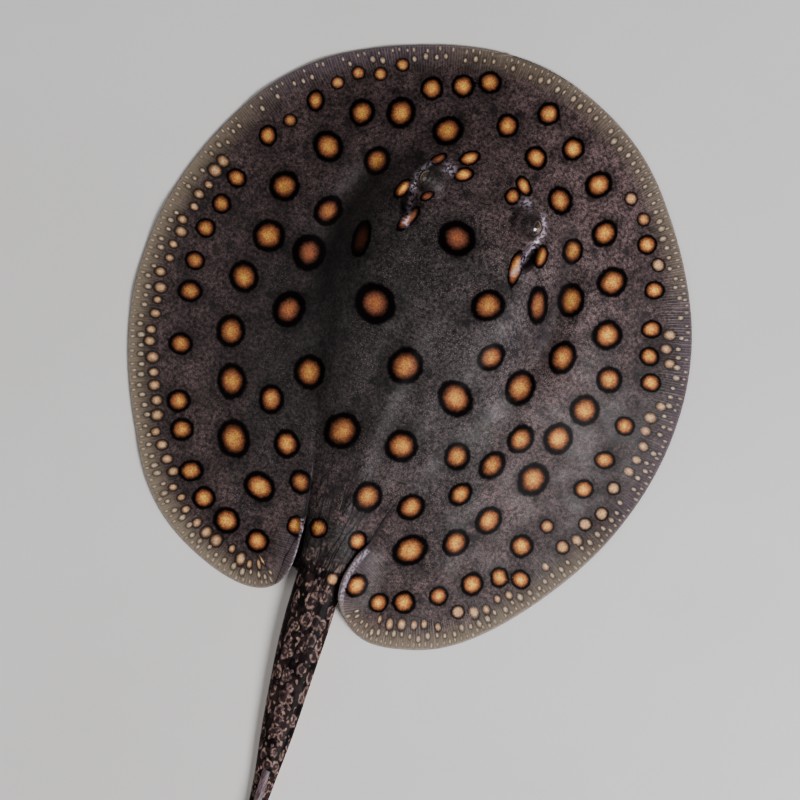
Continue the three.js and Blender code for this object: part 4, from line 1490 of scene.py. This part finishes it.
def build_sting():
    """A flat lance with back-pointing teeth down both edges and a raised rib along its top."""
    rings_per_tooth, columns = 5, 25
    share = np.linspace(0, 1, STING_TEETH * rings_per_tooth + 1)[:, None] * np.ones(columns)
    angle = np.linspace(0, 2 * np.pi, columns)
    half = STING_HALF_WIDTH * (1 - share**1.7) + 0.12
    tooth = (share * STING_TEETH) % 1.0
    jag = 0.5 * (1 - tooth) * ease((share - 0.12) / 0.1) * (1 - 0.6 * share) * np.abs(np.cos(angle)) ** 6
    x = (half + jag - 0.35) * np.cos(angle)
    rib = 0.35 * bell(x / 0.8) * (np.sin(angle) > 0)
    section = STING_HALF_HEIGHT * np.sin(angle) * np.abs(np.sin(angle)) ** 0.2 + rib
    point = 1 - share**14
    z = section * (1 - 0.75 * share**1.5) * point

    end_y = STING_ROOT_Y - STING_LENGTH
    start_x, end_x = float(sway_line(STING_ROOT_Y)), float(sway_line(end_y))
    start_z = float(tail_height(STING_ROOT_Y)) + 1.2
    end_z = float(tail_height(end_y)) + 2.0
    x = x * point + mix(start_x, end_x, share)
    z = z + mix(start_z, end_z, share)
    sting = grid_object("sting_lance", np.stack((x, mix(STING_ROOT_Y, end_y, share), z), axis=-1))
    close_up(sting)
    shade_smooth(sting)
    return sting


def build_thorn(x, y, foot, radius, height):
    """A small cone with a ribbed foot, leaning back."""
    bpy.ops.mesh.primitive_cone_add(vertices=14, radius1=radius * MM, radius2=0.12 * MM, depth=height * MM)
    thorn = bpy.context.active_object
    points = get_points(thorn)
    lift = (points[:, 2] + height / 2) / height
    ribs = 1 + 0.12 * np.cos(5 * np.arctan2(points[:, 1], points[:, 0]))
    points[:, :2] *= np.where(lift > 0.5, 1.0, ribs)[:, None]
    points[:, 1] -= 0.75 * height * lift**2
    set_points(thorn, points + np.array((x, y, foot + height / 2)))
    return thorn


def build_thorns():
    """A line of thorns down the tail's middle, larger towards the sting."""
    thorns = []
    for number in range(THORNS):
        share = number / (THORNS - 1)
        y = mix(FIRST_THORN_Y, LAST_THORN_Y, share) + 2.0 * math.sin(number * 2.4)
        x = float(sway_line(y)) + 0.7 * math.sin(number * 4.1)
        top = float(tail_height(y)) + 1.3 * float(ease((y + 330) / 60))
        thorns.append(build_thorn(x, y, top - 0.55, mix(1.0, 1.7, share), mix(1.4, 2.9, share)))
    only(*thorns)
    bpy.ops.object.join()
    joined = bpy.context.active_object
    joined.name = "tail_thorns"
    bpy.ops.object.shade_smooth_by_angle(angle=math.radians(50))
    return joined


# ---- the stage ----

LIT_PLACE = Vector((0.0, -0.05, 0.0))
SENSOR_WIDTH = 36.0


def area_light(name, place, size, power, colour):
    """A round light that points at the animal's middle."""
    bpy.ops.object.light_add(type="AREA", location=place)
    light = bpy.context.active_object
    light.name = name
    light.data.shape = "DISK"
    light.data.size = size
    light.data.energy = power
    light.data.color = colour
    light.rotation_euler = (LIT_PLACE - Vector(place)).to_track_quat("-Z", "Y").to_euler()


def build_stage(settings):
    low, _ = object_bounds()
    bpy.ops.mesh.primitive_plane_add(size=6, location=(0, 0, low[2]))
    floor = bpy.context.active_object
    floor.name = "floor"
    floor.data.materials.append(floor_material())
    floor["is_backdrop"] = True
    area_light("key", (1.5, -0.4, 1.9), 1.2, settings.key_power, (1.0, 0.97, 0.98))
    area_light("low_side", (1.4, 0.1, 0.5), 1.0, settings.side_power, (0.86, 0.82, 1.0))
    area_light("fill", (-1.1, -0.5, 1.3), 1.6, settings.fill_power, (1.0, 0.97, 0.97))
    world = bpy.data.worlds.new("studio")
    world.use_nodes = True
    background = world.node_tree.nodes["Background"]
    background.inputs["Color"].default_value = (0.98, 0.96, 0.96, 1.0)
    background.inputs["Strength"].default_value = settings.room_light
    bpy.context.scene.world = world

    bpy.ops.object.camera_add(location=(*settings.aim, settings.camera_height))
    camera = bpy.context.active_object
    camera.name = "camera"
    camera.rotation_euler = (0, 0, settings.roll)
    camera.data.sensor_width = SENSOR_WIDTH
    camera.data.lens = SENSOR_WIDTH * settings.camera_height / settings.view_width
    camera.data.clip_end = 20
    bpy.context.scene.camera = camera


# ---- the add-on ----


class RaySkinSettings(bpy.types.PropertyGroup):
    disc_rows: bpy.props.IntProperty(
        name="Disc rows", description="Rows of the skin from snout to tail", default=216
    )
    tail_rows: bpy.props.IntProperty(
        name="Tail rows", description="Rings of the skin down the tail", default=130
    )
    fin_columns: bpy.props.IntProperty(
        name="Fin columns", description="Columns across one fin's top", default=64
    )
    strip_columns: bpy.props.IntProperty(
        name="Back columns", description="Columns across head and back", default=48
    )
    rim_wave: bpy.props.FloatProperty(
        name="Rim wave", description="How high the rim's soft waves rise", default=0.0009, unit="LENGTH"
    )
    denticles: bpy.props.FloatProperty(
        name="Denticles", description="How strongly the pale grains show", default=1.0, subtype="FACTOR"
    )


class RayStageSettings(bpy.types.PropertyGroup):
    roll: bpy.props.FloatProperty(
        name="Roll", description="How far the animal's head is turned in the picture",
        default=math.radians(24.8), subtype="ANGLE",
    )
    camera_height: bpy.props.FloatProperty(
        name="Camera height", description="Height of the camera above the floor", default=3.0, unit="LENGTH"
    )
    view_width: bpy.props.FloatProperty(
        name="View width", description="Width of floor that the picture holds", default=0.5905, unit="LENGTH"
    )
    aim: bpy.props.FloatVectorProperty(
        name="Aim", description="The place straight below the camera", size=2, default=(0.0088, -0.05),
        unit="LENGTH",
    )
    key_power: bpy.props.FloatProperty(
        name="Key", description="Power of the main light", default=84.0, unit="POWER"
    )
    side_power: bpy.props.FloatProperty(
        name="Side", description="Power of the low light", default=5.0, unit="POWER"
    )
    fill_power: bpy.props.FloatProperty(
        name="Fill", description="Power of the fill light", default=7.0, unit="POWER"
    )
    room_light: bpy.props.FloatProperty(
        name="Room", description="Strength of the light all round", default=0.2
    )


class RAY_OT_skin(bpy.types.Operator):
    """Builds the skin of the whole animal, with its spiracles, eye knobs, mouth, gill slits and spots"""

    bl_idname = "ray.skin"
    bl_label = "Skin"

    def execute(self, context):
        settings = context.scene.ray_skin
        skin = build_skin(settings)
        carve_spiracles(skin)
        raise_eyes(skin)
        carve_underside(skin)
        fins = [pelvic_fin(side) for side in (-1, 1)]
        only(skin, *fins)
        bpy.ops.object.join()
        skin.name = "ray_skin"
        mark_spots(skin)
        mark_painted_light(skin)
        mark_wetness_and_glints(skin)
        mark_rim_room(skin)
        shade_smooth(skin)
        dress(skin, skin_material(settings.denticles), "skin", *FLESH)
        return {"FINISHED"}


class RAY_OT_eyes(bpy.types.Operator):
    """Builds the two eyeballs"""

    bl_idname = "ray.eyes"
    bl_label = "Eyes"

    def execute(self, context):
        material = eye_material()
        for side, hand in ((-1, "left"), (1, "right")):
            dress(build_eye(f"eyeball_{hand}", side), material, "eye", f"eye_{hand}")
        return {"FINISHED"}


class RAY_OT_sting(bpy.types.Operator):
    """Builds the sting and the thorns in front of it"""

    bl_idname = "ray.sting"
    bl_label = "Sting and thorns"

    def execute(self, context):
        material = sting_material()
        dress(build_sting(), material, "sting", "sting")
        dress(build_thorns(), material, "sting")
        return {"FINISHED"}


class RAY_OT_stage(bpy.types.Operator):
    """Builds the floor, the lights and the camera"""

    bl_idname = "ray.stage"
    bl_label = "Stage"

    def execute(self, context):
        build_stage(context.scene.ray_stage)
        return {"FINISHED"}


class RAY_PT_panel(bpy.types.Panel):
    bl_idname = "RAY_PT_panel"
    bl_label = "Stingray"
    bl_space_type = "VIEW_3D"
    bl_region_type = "UI"
    bl_category = "Stingray"

    def draw(self, context):
        for group in (context.scene.ray_skin, context.scene.ray_stage):
            box = self.layout.box()
            for name in group.__annotations__:
                box.prop(group, name)
        for operator in OPERATORS:
            self.layout.operator(operator.bl_idname)


OPERATORS = (RAY_OT_skin, RAY_OT_eyes, RAY_OT_sting, RAY_OT_stage)
CLASSES = (RaySkinSettings, RayStageSettings, *OPERATORS, RAY_PT_panel)


def register():
    for each in CLASSES:
        bpy.utils.register_class(each)
    bpy.types.Scene.ray_skin = bpy.props.PointerProperty(type=RaySkinSettings)
    bpy.types.Scene.ray_stage = bpy.props.PointerProperty(type=RayStageSettings)


def unregister():
    del bpy.types.Scene.ray_stage
    del bpy.types.Scene.ray_skin
    for each in reversed(CLASSES):
        bpy.utils.unregister_class(each)


def main():
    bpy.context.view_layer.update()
    register()
    for operator in (bpy.ops.ray.skin, bpy.ops.ray.eyes, bpy.ops.ray.sting, bpy.ops.ray.stage):
        if "FINISHED" not in operator():
            raise RuntimeError("a piece wasn't finished")


if __name__ == "__main__":
    main()
